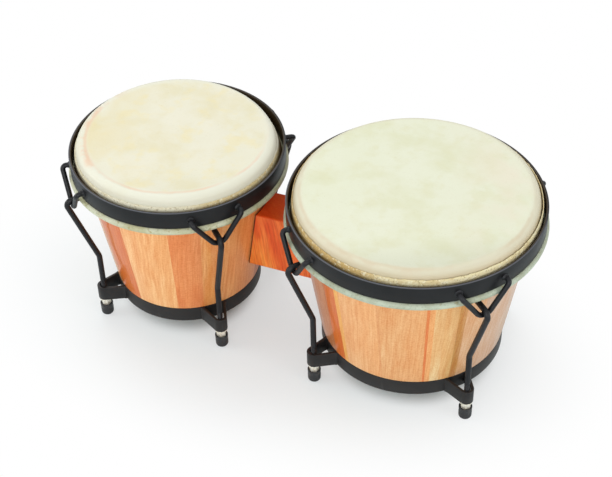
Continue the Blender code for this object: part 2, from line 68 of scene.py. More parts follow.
# The floor turns white from near to far, and holds a share of white up to the rings' undersides
FLOOR_MIDDLE = (-0.025, 0.0, 0.0)
FLOOR_NEAR = 0.085
FLOOR_FAR = 0.20
FLOOR_WIDTH_SHARE = 0.6
FLOOR_GLOW = 0.47
UNDER_FADE = 0.020
DRUMS = ("small", "large")


def paint(red, green, blue):
    """A colour as it is seen on a screen, from 0 to 255, in the values that a shader takes."""
    seen = [channel / 255 for channel in (red, green, blue)]
    return tuple(c / 12.92 if c <= 0.04045 else ((c + 0.055) / 1.055) ** 2.4 for c in seen) + (1.0,)


def add_node(tree, kind, *plugs, **settings):
    """A shader node. Each plug is (input name or number, value or the output that feeds it)."""
    made = tree.nodes.new("ShaderNode" + kind)
    for setting, value in settings.items():
        setattr(made, setting, value)
    for socket, value in plugs:
        if isinstance(value, bpy.types.NodeSocket):
            tree.links.new(value, made.inputs[socket])
        else:
            made.inputs[socket].default_value = value
    return made


def work_out(tree, operation, *values):
    """The result of a Math node on one, two or three values."""
    return add_node(tree, "Math", *enumerate(values), operation=operation).outputs[0]


def work_on(tree, operation, *vectors):
    """The result of a Vector Math node: a number for the operations named here, or else a vector."""
    result = "Value" if operation in ("LENGTH", "DISTANCE", "DOT_PRODUCT") else "Vector"
    return add_node(tree, "VectorMath", *enumerate(vectors), operation=operation).outputs[result]


def fade(tree, value, low, high, kind="SMOOTHSTEP"):
    """0 below low and 1 above high, and the reverse where low is the larger one."""
    plugs = (("Value", value), ("From Min", low), ("From Max", high))
    return add_node(tree, "MapRange", *plugs, interpolation_type=kind).outputs[0]


def spot_on(tree):
    """The place on the piece, in its own axes."""
    return add_node(tree, "TexCoord").outputs["Object"]


camera = bpy.data.objects.new("camera", bpy.data.cameras.new("camera"))
camera.location = CAMERA_PLACE
camera.rotation_euler = [radians(turn) for turn in CAMERA_TURN]
camera.data.lens = CAMERA_LENS
camera.data.sensor_width = CAMERA_FILM
camera.data.sensor_fit = "HORIZONTAL"
bpy.context.scene.collection.objects.link(camera)
bpy.context.scene.camera = camera
bpy.context.scene.view_settings.view_transform = "Standard"

for lamp_name, (place, width, power) in LAMPS.items():
    light = bpy.data.lights.new(lamp_name, "AREA")
    light.shape = "DISK"
    light.size = width
    light.energy = power
    lamp = bpy.data.objects.new(lamp_name, light)
    lamp.location = place
    lamp.rotation_euler = (LAMP_AIM - Vector(place)).to_track_quat("-Z", "Y").to_euler()
    bpy.context.scene.collection.objects.link(lamp)

room = bpy.data.worlds.new("white_room")
room.use_nodes = True
tree = room.node_tree
tree.nodes.clear()
ray = add_node(tree, "LightPath")
shown = work_out(tree, "MAXIMUM", ray.outputs["Is Camera Ray"], ray.outputs["Is Glossy Ray"])
lit = add_node(tree, "Background", ("Color", (1, 1, 1, 1)), ("Strength", ROOM_LIGHT))
white = add_node(tree, "Background", ("Color", (1, 1, 1, 1)), ("Strength", 1.0))
either = add_node(tree, "MixShader", (0, shown), (1, lit.outputs[0]), (2, white.outputs[0]))
add_node(tree, "OutputWorld", ("Surface", either.outputs[0]))
bpy.context.scene.world = room

floor_material = bpy.data.materials.new("pale_floor")
floor_material.use_nodes = True
tree = floor_material.node_tree
matt = tree.nodes["Principled BSDF"]
matt.inputs["Base Color"].default_value = paint(230, 241, 243)
matt.inputs["Roughness"].default_value = 0.85
ray = add_node(tree, "LightPath")
spot = spot_on(tree)
narrowed = work_on(tree, "MULTIPLY", work_on(tree, "SUBTRACT", spot, FLOOR_MIDDLE), (FLOOR_WIDTH_SHARE, 1, 1))
away = fade(tree, work_on(tree, "LENGTH", narrowed), FLOOR_NEAR, FLOOR_FAR)
away = work_out(tree, "MULTIPLY_ADD", away, 1 - FLOOR_GLOW, FLOOR_GLOW)
for name in DRUMS:
    low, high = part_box(f"{name}_bottom_ring")
    off_ring = work_on(tree, "DISTANCE", spot, ((low.x + high.x) / 2, (low.y + high.y) / 2, 0.0))
    ring_reach = (high.x - low.x) / 2
    away = work_out(tree, "MULTIPLY", away, fade(tree, off_ring, ring_reach - UNDER_FADE, ring_reach))
distant = work_out(tree, "MULTIPLY", away, ray.outputs["Is Camera Ray"])
glow = add_node(tree, "Emission", ("Color", (1, 1, 1, 1)), ("Strength", 1.0))
ground = add_node(tree, "MixShader", (0, distant), (1, matt.outputs[0]), (2, glow.outputs[0]))
tree.links.new(ground.outputs[0], tree.nodes["Material Output"].inputs["Surface"])

floor_shape = bmesh.new()
bmesh.ops.create_grid(floor_shape, x_segments=8, y_segments=8, size=FLOOR_HALF)
floor_mesh = bpy.data.meshes.new("floor")
floor_shape.to_mesh(floor_mesh)
floor_shape.free()
floor_mesh.materials.append(floor_material)
floor = bpy.data.objects.new("floor", floor_mesh)
bpy.context.scene.collection.objects.link(floor)

# Shells
# Each drum's shell is a ring of tapered hardwood staves glued edge to edge, turned to a cone, stepped
# at the foot for the steel ring, rounded at the top for the hide, and lacquered outside.
WAIST_RADIUS = {"small": 0.0673, "large": 0.0815}
SHELL_WALL = 0.0100
EDGE_WIDTH = 0.0067
EDGE_DROP = 0.0084
EDGE_INNER_FALL = 0.0020
EDGE_EASE = 0.0006
SEAT_DEPTH = 0.0023
SEAT_GAP = 0.0003
SHELL_TURNS = 288
WALL_ROWS = 12
SHARP_FROM = radians(35)
JOINT_WIDTH = 0.25
# A colour ramp holds 32 stops, so on the large drum the joints after the 15th, at the back, have no line
JOINTS_DRAWN = 15
BOARD_SEED = (17, 29, 43)
GRAIN_WANDER = 0.006
RAW_GRAIN_RADIUS = 0.075
# Each stave: the azimuth in degrees where it ends, its colour, and how strongly it is streaked
STAVES = {
    "small": (
        (206, (244, 184, 116), 0.5),
        (230, (240, 176, 118), 0.3),
        (254.2, (226, 124, 48), 0.3),
        (286, (251, 190, 127), 0.9),
        (306.5, (240, 152, 88), 0.5),
        (331, (253, 180, 108), 0.8),
        (356, (247, 173, 102), 0.6),
        (383, (220, 130, 66), 0.3),
        (409, (244, 184, 116), 0.7),
        (437, (248, 181, 115), 0.3),
        (463, (226, 142, 72), 0.6),
        (488, (233, 140, 80), 0.2),
        (515, (248, 181, 115), 0.8),
        (540, (214, 120, 56), 0.3),
    ),
    "large": (
        (202, (226, 142, 72), 0.6),
        (222, (220, 171, 148), 0.2),
        (233.5, (221, 155, 111), 0.2),
        (242.5, (230, 126, 52), 0.2),
        (245.2, (250, 188, 98), 0.2),
        (268.7, (245, 187, 128), 0.4),
        (293.2, (238, 181, 123), 0.5),
        (294.5, (232, 136, 68), 0.2),
        (297, (242, 176, 110), 0.3),
        (303, (238, 198, 140), 0.7),
        (310.5, (238, 190, 126), 0.6),
        (314, (214, 158, 92), 0.6),
        (326, (234, 189, 144), 0.3),
        (360, (218, 184, 156), 0.2),
        (388, (220, 130, 66), 0.2),
        (411, (244, 184, 116), 0.6),
        (434, (233, 140, 80), 0.3),
        (458, (226, 142, 72), 0.7),
        (480, (248, 181, 115), 0.2),
        (503, (214, 120, 56), 0.4),
        (522, (244, 184, 116), 0.5),
        (540, (220, 130, 66), 0.2),
    ),
}


class Shell:
    """One drum as the frame has it: its upright axis, its tapered wall, and its rim, ring and hoop."""

    def __init__(self, name):
        low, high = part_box(f"{name}_shell")
        self.name = name
        self.axis = (low.x + high.x) / 2
        self.foot, self.crest = low.z, high.z
        self.top_radius = (high.x - low.x) / 2
        self.waist_radius = WAIST_RADIUS[name]
        self.ring_low, self.seat_top = (corner.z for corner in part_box(f"{name}_bottom_ring"))
        self.edge_bottom = self.crest - EDGE_DROP
        self.crest_radius = self.top_radius - EDGE_WIDTH
        self.slope = (self.top_radius - self.waist_radius) / (self.edge_bottom - self.seat_top)
        low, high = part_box(f"{name}_rim")
        self.rim_low, self.rim_top = low.z, high.z
        self.rim_radius = (high.x - low.x) / 2
        low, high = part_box(f"{name}_flesh_hoop")
        self.hoop_radius = (high.x - low.x) / 2
        self.hoop_height = (low.z + high.z) / 2

    def radius(self, height):
        return self.waist_radius + self.slope * (height - self.seat_top)

    def section(self):
        """The wall's closed section, from the crest down the outer side and up the inner one."""
        wall = SHELL_WALL / cos(atan2(self.slope, 1.0))
        foot_radius = self.waist_radius - SEAT_DEPTH
        inner_top = self.top_radius - wall
        inner_foot = self.radius(self.foot) - wall
        step = self.seat_top + SEAT_GAP
        points = arc((self.crest_radius, self.edge_bottom), (EDGE_WIDTH, EDGE_DROP), 90, 0, 14)
        for row in range(1, WALL_ROWS):
            height = self.edge_bottom + (step + EDGE_EASE - self.edge_bottom) * row / WALL_ROWS
            points.append((self.radius(height), height))
        points += arc((self.radius(step) - EDGE_EASE, step + EDGE_EASE), EDGE_EASE, 0, -90, 3)
        points += [(foot_radius, step)]
        points += arc((foot_radius - EDGE_EASE, self.foot + EDGE_EASE), EDGE_EASE, 0, -90, 3)
        self.raw_from = len(points)
        points += arc((inner_foot + EDGE_EASE, self.foot + EDGE_EASE), EDGE_EASE, -90, -180, 3)
        points += between((inner_foot, self.foot), (inner_top, self.edge_bottom), WALL_ROWS)
        return points + [(inner_top, self.edge_bottom), (inner_top, self.crest - EDGE_INNER_FALL)]


def arc(middle, reach, start, end, steps):
    """Points on an arc between two angles in degrees, ends included. Two reaches make it elliptical."""
    wide, tall = reach if isinstance(reach, tuple) else (reach, reach)
    angles = [radians(start + (end - start) * step / steps) for step in range(steps + 1)]
    return [(middle[0] + wide * cos(angle), middle[1] + tall * sin(angle)) for angle in angles]


def between(first, last, steps):
    """Points that divide a straight run into steps, without its ends."""
    return [tuple(a + (b - a) * step / steps for a, b in zip(first, last)) for step in range(1, steps)]


def turned_mesh(name, section_at, turns, closed=True):
    """A mesh turned about Z from a section of (radius, height) points that runs down its outer side.

    section_at gives the section for an angle, so that it may change round the piece. An open section
    starts and ends on the axis.
    """
    vertices = []
    rings = []
    poles = {}
    for turn in range(turns):
        angle = 2 * pi * turn / turns
        ring = []
        for place, (radius, height) in enumerate(section_at(angle)):
            if radius < 1e-7:
                if place not in poles:
                    poles[place] = len(vertices)
                    vertices.append((0.0, 0.0, height))
                ring.append(poles[place])
            else:
                ring.append(len(vertices))
                vertices.append((radius * cos(angle), radius * sin(angle), height))
        rings.append(ring)
    faces = []
    for turn, ring in enumerate(rings):
        following = rings[(turn + 1) % turns]
        for place in range(len(ring) if closed else len(ring) - 1):
            after = (place + 1) % len(ring)
            corners = (ring[place], ring[after], following[after], following[place])
            faces.append(tuple(dict.fromkeys(corners)))
    mesh = bpy.data.meshes.new(name)
    mesh.from_pydata(vertices, [], faces)
    return smoothed(mesh)


def smoothed(mesh):
    """Smooth shading, with hard edges where the surface turns sharply."""
    mesh.shade_smooth()
    mesh.set_sharp_from_angle(angle=SHARP_FROM)
    return mesh


def add_piece(name, mesh, materials, place=(0.0, 0.0, 0.0), turn=(0.0, 0.0, 0.0)):
    piece = bpy.data.objects.new(name, mesh)
    bpy.context.scene.collection.objects.link(piece)
    for material in materials:
        mesh.materials.append(material)
    piece.location = place
    piece.rotation_euler = turn
    return piece


def new_material(name, roughness, metallic=0.0, **uniform):
    """A material with its shader's even values set, and the shader to plug the uneven ones into."""
    material = bpy.data.materials.new(name)
    material.use_nodes = True
    shader = material.node_tree.nodes["Principled BSDF"]
    shader.inputs["Roughness"].default_value = roughness
    shader.inputs["Metallic"].default_value = metallic
    for socket, value in uniform.items():
        shader.inputs[socket.replace("_", " ")].default_value = value
    return material, material.node_tree, shader


def new_group(name, inputs, outputs):
    """A shader node group with its sockets, and its input and output nodes."""
    group = bpy.data.node_groups.new(name, "ShaderNodeTree")
    for label, kind, value in inputs:
        socket = group.interface.new_socket(label, in_out="INPUT", socket_type="NodeSocket" + kind)
        if value is not None:
            socket.default_value = value
    for label, kind in outputs:
        group.interface.new_socket(label, in_out="OUTPUT", socket_type="NodeSocket" + kind)
    return group, group.nodes.new("NodeGroupInput"), group.nodes.new("NodeGroupOutput")


def plug(tree, node, **outputs):
    """Feeds a node's inputs. Their names have _ for a space."""
    for socket, output in outputs.items():
        tree.links.new(output, node.inputs[socket.replace("_", " ")])


def parts_of(tree, vector):
    return add_node(tree, "SeparateXYZ", (0, vector)).outputs


def vector_of(tree, *values):
    return add_node(tree, "CombineXYZ", *enumerate(values)).outputs[0]


def noise_at(tree, place, scale, detail, roughness=0.5):
    plugs = (("Vector", place), ("Scale", scale), ("Detail", detail), ("Roughness", roughness))
    return add_node(tree, "TexNoise", *plugs).outputs[0]


def mixed(tree, amount, first, second, blend="MIX"):
    """Two colours mixed by an amount, as a colour output."""
    node = add_node(tree, "Mix", (0, amount), (6, first), (7, second), data_type="RGBA", blend_type=blend)
    return node.outputs[2]


def covered(tree, colour, mask, share, cover):
    """A colour covered by another where a mask is 1, by a share."""
    return mixed(tree, work_out(tree, "MULTIPLY", mask, share), colour, cover)


def tinted(tree, colour, mask, share, tint):
    """A colour multiplied by a tint where a mask is 1, by a share."""
    return mixed(tree, work_out(tree, "MULTIPLY", mask, share), colour, (*tint, 1), "MULTIPLY")


def raised(tree, height, strength, distance):
    """A Bump node's normal for a height that changes over the surface."""
    plugs = (("Height", height), ("Strength", strength), ("Distance", distance))
    return add_node(tree, "Bump", *plugs).outputs["Normal"]


# Wood grain for the shells and the block. Place is (across the grain, along it, a number for the board).
grain_group, grain_in, grain_out = new_group(
    "Wood Grain",
    (("Place", "Vector", None), ("Slope", "Float", 0.03)),
    (("Streaks", "Float"), ("Fibres", "Float"), ("Clouds", "Float"), ("Curl", "Float")),
)
across, along, board = parts_of(grain_group, grain_in.outputs["Place"])
leaning = work_out(grain_group, "MULTIPLY_ADD", along, grain_in.outputs["Slope"], across)
wander = noise_at(grain_group, vector_of(grain_group, across, along, board), 14.0, 2.0)
grain_across = work_out(grain_group, "MULTIPLY_ADD", wander, GRAIN_WANDER, leaning)
for output, stretch, scale, detail, low, high in (
    ("Streaks", 0.035, 320.0, 3.0, 0.46, 0.62),
    ("Fibres", 0.030, 1100.0, 3.0, 0.38, 0.66),
    ("Clouds", 0.300, 60.0, 3.0, 0.38, 0.62),
    ("Curl", 1.600, 620.0, 2.0, 0.42, 0.62),
):
    place = vector_of(grain_group, grain_across, work_out(grain_group, "MULTIPLY", along, stretch), board)
    bands = noise_at(grain_group, place, scale, detail, 0.6)
    plug(grain_group, grain_out, **{output: fade(grain_group, bands, low, high)})


def stepped_ramp(tree, value, stops):
    """A ramp that holds each stop's colour until the next one."""
    node = add_node(tree, "ValToRGB", (0, value))
    elements = node.color_ramp.elements
    node.color_ramp.interpolation = "CONSTANT"
    for index, (position, color) in enumerate(stops):
        element = elements[index] if index < 2 else elements.new(position)
        element.position = position
        element.color = color
    return node.outputs


def stave_wood(shell):
    """Lacquered staves: the stave's own tone by azimuth, streaked and speckled along its length."""
    material, tree, shader = new_material(
        f"{shell.name}_stave_wood", 0.38, Specular_IOR_Level=0.3, Coat_Weight=0.4, Coat_Roughness=0.10
    )
    x, y, z = parts_of(tree, spot_on(tree))
    azimuth = work_out(tree, "MULTIPLY_ADD", work_out(tree, "ARCTAN2", y, x), 0.5 / pi, 0.5)
    staves = STAVES[shell.name]
    starts = [0.0] + [(stave[0] - 180) / 360 for stave in staves[:-1]]
    tones = [(start, (*paint(*seen)[:3], streaked)) for start, (end, seen, streaked) in zip(starts, staves)]
    tone, streaks = stepped_ramp(tree, azimuth, tones)
    half_joint = JOINT_WIDTH / 720
    lines = [(0.0, (1, 1, 1, 1))]
    for start in starts[1 : JOINTS_DRAWN + 1]:
        lines += [(start - half_joint, (0, 0, 0, 1)), (start + half_joint, (1, 1, 1, 1))]
    wood = stepped_ramp(tree, azimuth, lines)["Color"]
    board = work_on(tree, "DOT_PRODUCT", tone, BOARD_SEED)
    across = work_out(tree, "MULTIPLY", azimuth, 2 * pi * shell.waist_radius)
    place = vector_of(tree, across, z, board)
    grain = add_node(tree, "Group", ("Place", place), ("Slope", -0.06), node_tree=grain_group).outputs
    colour = tone
    for mask, share, tint in (
        ("Clouds", 0.7, (0.96, 0.82, 0.68)),
        ("Streaks", streaks, (1.08, 1.28, 1.50)),
        ("Fibres", 0.9, (0.90, 0.75, 0.61)),
        ("Curl", 0.9, (0.92, 0.80, 0.68)),
    ):
        colour = tinted(tree, colour, grain[mask], share, tint)
    colour = tinted(tree, colour, work_out(tree, "SUBTRACT", 1.0, wood), 0.25, (0.70, 0.50, 0.40))
    rough = work_out(tree, "MULTIPLY_ADD", grain["Fibres"], 0.12, 0.32)
    height = work_out(tree, "MULTIPLY_ADD", grain["Fibres"], 0.5, wood)
    plug(tree, shader, Base_Color=colour, Roughness=rough, Normal=raised(tree, height, 0.25, 0.00008))
    return material


def raw_wood(shell):
    """The unfinished inside and foot of a shell: dull, paler, and sawn along the staves."""
    material, tree, shader = new_material(f"{shell.name}_raw_wood", 0.75)
    x, y, z = parts_of(tree, spot_on(tree))
    across = work_out(tree, "MULTIPLY", work_out(tree, "ARCTAN2", y, x), RAW_GRAIN_RADIUS)
    place = vector_of(tree, across, z)
    grain = add_node(tree, "Group", ("Place", place), ("Slope", 0.0), node_tree=grain_group).outputs
    colour = mixed(tree, grain["Clouds"], paint(214, 168, 120), paint(190, 138, 90))
    colour = covered(tree, colour, grain["Fibres"], 0.5, paint(166, 112, 70))
    plug(tree, shader, Base_Color=colour, Normal=raised(tree, grain["Fibres"], 0.6, 0.00025))
    return material


BOLT_BORE = 0.00335
BOLT_SPACING = 0.0300
BORE_OVERRUN = 0.0030


def bolt_places(shell):
    """Places of a drum's two block bolts: origin on the shell's outer wall, Z square to it and inward."""
    block_low, block_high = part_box("centre_block")
    toward_block = 1 if shell.axis < block_low.x else -1
    tilt = atan2(shell.slope, 1.0)
    inward = Vector((-toward_block * cos(tilt), 0.0, sin(tilt)))
    turn = inward.to_track_quat("Z", "Y").to_matrix().to_4x4()
    places = []
    for name, offset in (("lower", -BOLT_SPACING / 2), ("upper", BOLT_SPACING / 2)):
        height = (block_low.z + block_high.z) / 2 + offset
        start = Vector((shell.axis + toward_block * shell.radius(height), 0.0, height))
        places.append((name, Matrix.Translation(start) @ turn))
    return places


def bored(mesh, place, holes):
    """The mesh with round holes cut in it. Each hole is (matrix, start, length) along its own Z."""
    blank = add_piece("blank", mesh, (), place)
    drills = []
    for matrix, start, length in holes:
        drill_mesh = bpy.data.meshes.new("drill")
        shape = bmesh.new()
        round_ends = {"radius1": BOLT_BORE, "radius2": BOLT_BORE, "cap_ends": True}
        bmesh.ops.create_cone(shape, segments=32, depth=length, **round_ends)
        bmesh.ops.translate(shape, vec=(0, 0, start + length / 2), verts=shape.verts)
        shape.to_mesh(drill_mesh)
        shape.free()
        drill = add_piece("drill", drill_mesh, ())
        drill.matrix_world = matrix
        drills.append(drill)
        hole = blank.modifiers.new("hole", "BOOLEAN")
        hole.object = drill
        hole.solver = "EXACT"
    graph = bpy.context.evaluated_depsgraph_get()
    done = bpy.data.meshes.new_from_object(blank.evaluated_get(graph))
    done.name = mesh.name
    for used in [blank] + drills:
        bpy.data.objects.remove(used, do_unlink=True)
    return smoothed(done)


# The small drum's top edge is drawn in on its back right side
DRAWN_SIDE = radians(60)
DRAWN_IN = {"small": 0.0042, "large": 0.0}
DRAWN_RISE = 0.0120
DRAWN_RUN = 0.2


def drawn_in(mesh, shell):
    """Draws in the top edge of a shell or head on its uneven side, and tapers that off below and inside."""
    for vertex in mesh.vertices:
        x, y, z = vertex.co
        reach = hypot(x, y)
        side = max(0.0, cos(atan2(y, x) - DRAWN_SIDE)) ** 4
        rise = min(1.0, max(0.0, 1 - (shell.edge_bottom - z) / DRAWN_RISE))
        out = min(1.0, max(0.0, 1 - (1 - reach / shell.top_radius) / DRAWN_RUN))
        if out:
            share = 1 - DRAWN_IN[shell.name] * side * rise * out / reach
            vertex.co = (x * share, y * share, z)
    return mesh


shells = {name: Shell(name) for name in DRUMS}
for shell in shells.values():
    section = shell.section()
    shell_mesh = drawn_in(turned_mesh(f"{shell.name}_shell", lambda angle: section, SHELL_TURNS), shell)
    for face in shell_mesh.polygons:
        face.material_index = int(face.index % len(section) >= shell.raw_from - 1)
    shell_mesh.materials.append(stave_wood(shell))
    shell_mesh.materials.append(raw_wood(shell))
    holes = [(place, -BORE_OVERRUN, SHELL_WALL + 2 * BORE_OVERRUN) for name, place in bolt_places(shell)]
    shell_mesh = bored(shell_mesh, (shell.axis, 0.0, 0.0), holes)
    piece = add_piece(f"{shell.name}_wooden_shell", shell_mesh, (), (shell.axis, 0.0, 0.0))
    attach(piece, "drums")
    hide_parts(f"{shell.name}_shell")

# Centre block
# A hardwood block stained red and lacquered, its two ends hollowed to the shells' taper, with its
# long edges eased. Two bolts from inside each shell hold it.
BLOCK_EASE = 0.0016
BLOCK_END_EASE = 0.0004
BLOCK_GAP = 0.0003
BLOCK_STEPS = 10
BLOCK_SHARES = (0.0, 0.25, 0.5, 0.75, 1.0)
BOLT_GRIP = 0.0220
# The figure slants back into the block. The stain is paler at its lower left end, the lid is deeper red,
# and painted shade darkens the seams. Each of them is full at the nearer measure and gone at the farther one.
FIGURE_SLANT = 0.83
LOWER_END_RISE = 0.6
LOWER_END_NEAR = 0.014
LOWER_END_FAR = 0.048
LID_NEAR = 0.0004
LID_FAR = 0.0016
SEAM_SHADE_NEAR = 0.0009
SEAM_SHADE_FAR = 0.0019
block_low, block_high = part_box("centre_block")
block_middle = (block_low.z + block_high.z) / 2


def block_outline(inset):
    """The block's section across its length as (y, z) points, drawn in by an inset."""
    half = (block_high.y - block_low.y) / 2 - inset - BLOCK_EASE
    bottom, top = block_low.z + inset + BLOCK_EASE, block_high.z - inset - BLOCK_EASE
    outline = []
    for y, z, start in ((half, bottom, -90), (half, top, 0), (-half, top, 90), (-half, bottom, 180)):
        corner = arc((y, z), BLOCK_EASE, start, start + 90, 4)
        if outline:
            outline += between(outline[-1], corner[0], BLOCK_STEPS)
        outline += corner
    return outline + between(outline[-1], outline[0], BLOCK_STEPS)


def block_end(shell, y, z):
    """X of the block's hollowed end at a place on its section."""
    toward_block = 1 if shell.axis < block_low.x else -1
    return shell.axis + toward_block * sqrt((shell.radius(z) + BLOCK_GAP) ** 2 - y**2)


def end_rings(shell, outline):
    """Rings over a hollowed end, from a point in its middle out to the outline."""
    rings = []
    for share in BLOCK_SHARES:
        spots = [(share * y, block_middle + share * (z - block_middle)) for y, z in outline]
        rings.append([(block_end(shell, y, z), y, z) for y, z in spots])
    return rings


def block_mesh():
    inner = block_outline(BLOCK_END_EASE)
    rings = end_rings(shells["small"], inner)
    for share in BLOCK_SHARES:
        ring = []
        for y, z in block_outline(0.0):
            left = block_end(shells["small"], y, z) + BLOCK_END_EASE
            right = block_end(shells["large"], y, z) - BLOCK_END_EASE
            ring.append((left + (right - left) * share, y, z))
        rings.append(ring)
    return lofted_mesh("centre_block", rings + end_rings(shells["large"], inner)[::-1])


def lofted_mesh(name, rings):
    """A closed mesh through rings of points. The first and last ring are each a single place."""
    shape = bmesh.new()
    rows = [[shape.verts.new(point) for point in ring] for ring in rings[1:-1]]
    count = len(rows[0])
    for row, following in zip(rows, rows[1:]):
        for k in range(count):
            after = (k + 1) % count
            shape.faces.new((row[k], row[after], following[after], following[k]))
    for row, tip in ((rows[0], rings[0][0]), (rows[-1], rings[-1][0])):
        pole = shape.verts.new(tip)
        for k in range(count):
            shape.faces.new((row[k], row[(k + 1) % count], pole))
    bmesh.ops.recalc_face_normals(shape, faces=shape.faces)
    mesh = bpy.data.meshes.new(name)
    shape.to_mesh(mesh)
    shape.free()
    return smoothed(mesh)


def block_wood():
    """Red stain over figured wood: more orange at the lower left, darker on top, with painted shade along
    both shells.
    """
    material, tree, shader = new_material(
        "red_block_wood", 0.45, Specular_IOR_Level=0.25, Coat_Weight=0.12, Coat_Roughness=0.2
    )
    spot = spot_on(tree)
    x, y, z = parts_of(tree, spot)
    place = vector_of(tree, work_out(tree, "MULTIPLY_ADD", y, FIGURE_SLANT, x), z, y)
    grain = add_node(tree, "Group", ("Place", place), ("Slope", 0.12), node_tree=grain_group).outputs
    colour = mixed(tree, grain["Clouds"], paint(254, 124, 54), paint(234, 90, 32))
    colour = tinted(tree, colour, grain["Streaks"], 0.5, (1.05, 1.55, 1.90))
    colour = tinted(tree, colour, grain["Fibres"], 0.7, (0.70, 0.46, 0.36))
    along = work_out(tree, "SUBTRACT", x, block_low.x + LOWER_END_RISE * block_low.z)
    aslant = work_out(tree, "MULTIPLY_ADD", z, LOWER_END_RISE, along)
    lower_end = fade(tree, aslant, LOWER_END_FAR, LOWER_END_NEAR)
    colour = tinted(tree, colour, lower_end, 0.9, (1.03, 1.50, 1.20))
    lid = fade(tree, z, block_high.z - LID_FAR, block_high.z - LID_NEAR)
    colour = covered(tree, colour, lid, 0.7, paint(228, 76, 12))
    for shell in shells.values():
        level = work_on(tree, "MULTIPLY", work_on(tree, "SUBTRACT", spot, (shell.axis, 0, 0)), (1, 1, 0))
        upright = work_out(tree, "MULTIPLY_ADD", z, -shell.slope, work_on(tree, "LENGTH", level))
        wall = shell.radius(0.0)
        # Painted shade: a dark band on the block along each shell, where the gap between them lies in shade
        seam_shade = fade(tree, upright, wall + SEAM_SHADE_FAR, wall + SEAM_SHADE_NEAR)
        colour = tinted(tree, colour, seam_shade, 0.95, (0.10, 0.08, 0.08))
    rough = work_out(tree, "MULTIPLY_ADD", grain["Fibres"], 0.2, 0.34)
    bump = raised(tree, grain["Fibres"], 0.35, 0.00012)
    plug(tree, shader, Base_Color=colour, Roughness=rough, Normal=bump)
    return material


block_holes = [
    (place, -BOLT_GRIP - BLOCK_GAP, BOLT_GRIP + BORE_OVERRUN)
    for shell in shells.values()
    for name, place in bolt_places(shell)
]
piece = add_piece("red_centre_block", bored(block_mesh(), (0.0, 0.0, 0.0), block_holes), (block_wood(),))
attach(piece, "drums")
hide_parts("centre_block")

# Block bolts and their washers
# Bright zinc-plated hexagon bolts, two from inside each shell, each on a wide plain washer that
# spreads its load over the curved wall.
BOLT_RADIUS = 0.0030
BOLT_HEAD_FLATS = 0.0100
BOLT_HEAD_HEIGHT = 0.0040
BOLT_WASHER_RADIUS = 0.0080
BOLT_WASHER_THICKNESS = 0.0015
BOLT_WASHER_BORE = 0.0033
PLATE_EASE = 0.0003
PLATE_TURNS = 64
HEX_TURNS = 96
CHAMFER_DEPTH = 0.0006
CHAMFER_FACE = 0.95
CHAMFER_SLOPE = tan(radians(60))


def plate_section(bore, radius, thickness, ease):
    """The closed section of a flat washer with its outer edges rolled."""
    inner = ease / 2
    section = arc((radius - ease, thickness - ease), ease, 90, 0, 3)
    section += arc((radius - ease, ease), ease, 0, -90, 3)
    section += [(bore + inner, 0.0), (bore, inner), (bore, thickness - inner), (bore + inner, thickness)]
    return section


def chamfered(angle, flats, height, both_ends):
    """The outer side of a hexagon with turned-off corners, from the top down, at one angle."""
    off_flat = (angle + pi / 6) % (pi / 3) - pi / 6
    corner = flats / 2 / cos(off_flat)
    face = flats / 2 * CHAMFER_FACE
    depths = [CHAMFER_DEPTH * step / 4 for step in range(5)]
    top = [(min(corner, face + depth * CHAMFER_SLOPE), height - depth) for depth in depths]
    if both_ends:
        return top + [(radius, height - level) for radius, level in reversed(top)]
    return top + [(corner, 0.0)]


def zinc_plate():
    """Bright zinc plate: pale metal with a faint warm and cool passivated bloom, and fine scratches."""
    material, tree, shader = new_material("zinc_plate", 0.4, 0.7)
    place = spot_on(tree)
    bloom = fade(tree, noise_at(tree, place, 420.0, 3.0), 0.35, 0.65)
    colour = mixed(tree, bloom, paint(252, 248, 238), paint(242, 234, 214))
    scratch = noise_at(tree, work_on(tree, "MULTIPLY", place, (1.0, 1.0, 9.0)), 2600.0, 2.0)
    rough = work_out(tree, "MULTIPLY_ADD", scratch, 0.3, 0.26)
    plug(tree, shader, Base_Color=colour, Roughness=rough, Normal=raised(tree, scratch, 0.15, 0.00003))
    return material


zinc = zinc_plate()
for shell in shells.values():
    sag_radius = shell.radius(block_middle) - SHELL_WALL
    sag = sag_radius - sqrt(sag_radius**2 - BOLT_WASHER_RADIUS**2)
    washer_seat = SHELL_WALL + BLOCK_GAP + sag
    head_seat = washer_seat + BOLT_WASHER_THICKNESS + BLOCK_GAP
    section = plate_section(BOLT_WASHER_BORE, BOLT_WASHER_RADIUS, BOLT_WASHER_THICKNESS, PLATE_EASE)
    washer_mesh = turned_mesh(f"{shell.name}_block_washer", lambda angle: section, PLATE_TURNS)
    washer_mesh.materials.append(zinc)
    tip = -head_seat - BOLT_GRIP
    shank = [(BOLT_RADIUS, 0.0), (BOLT_RADIUS, tip + PLATE_EASE), (BOLT_RADIUS - PLATE_EASE, tip), (0.0, tip)]
    bolt_mesh = turned_mesh(
        f"{shell.name}_block_bolt",
        lambda angle: [(0.0, BOLT_HEAD_HEIGHT)]
        + chamfered(angle, BOLT_HEAD_FLATS, BOLT_HEAD_HEIGHT, False)
        + shank,
        HEX_TURNS,
        closed=False,
    )
    bolt_mesh.materials.append(zinc)
    for name, place in bolt_places(shell):
        for kind, mesh, seat in (("washer", washer_mesh, washer_seat), ("bolt", bolt_mesh, head_seat)):
            piece = add_piece(f"{shell.name}_zinc_block_{kind}_{name}", mesh, ())
            piece.matrix_world = place @ Matrix.Translation((0.0, 0.0, seat))
            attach(piece, "drums")
            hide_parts(f"{shell.name}_block_{kind}_{name}")

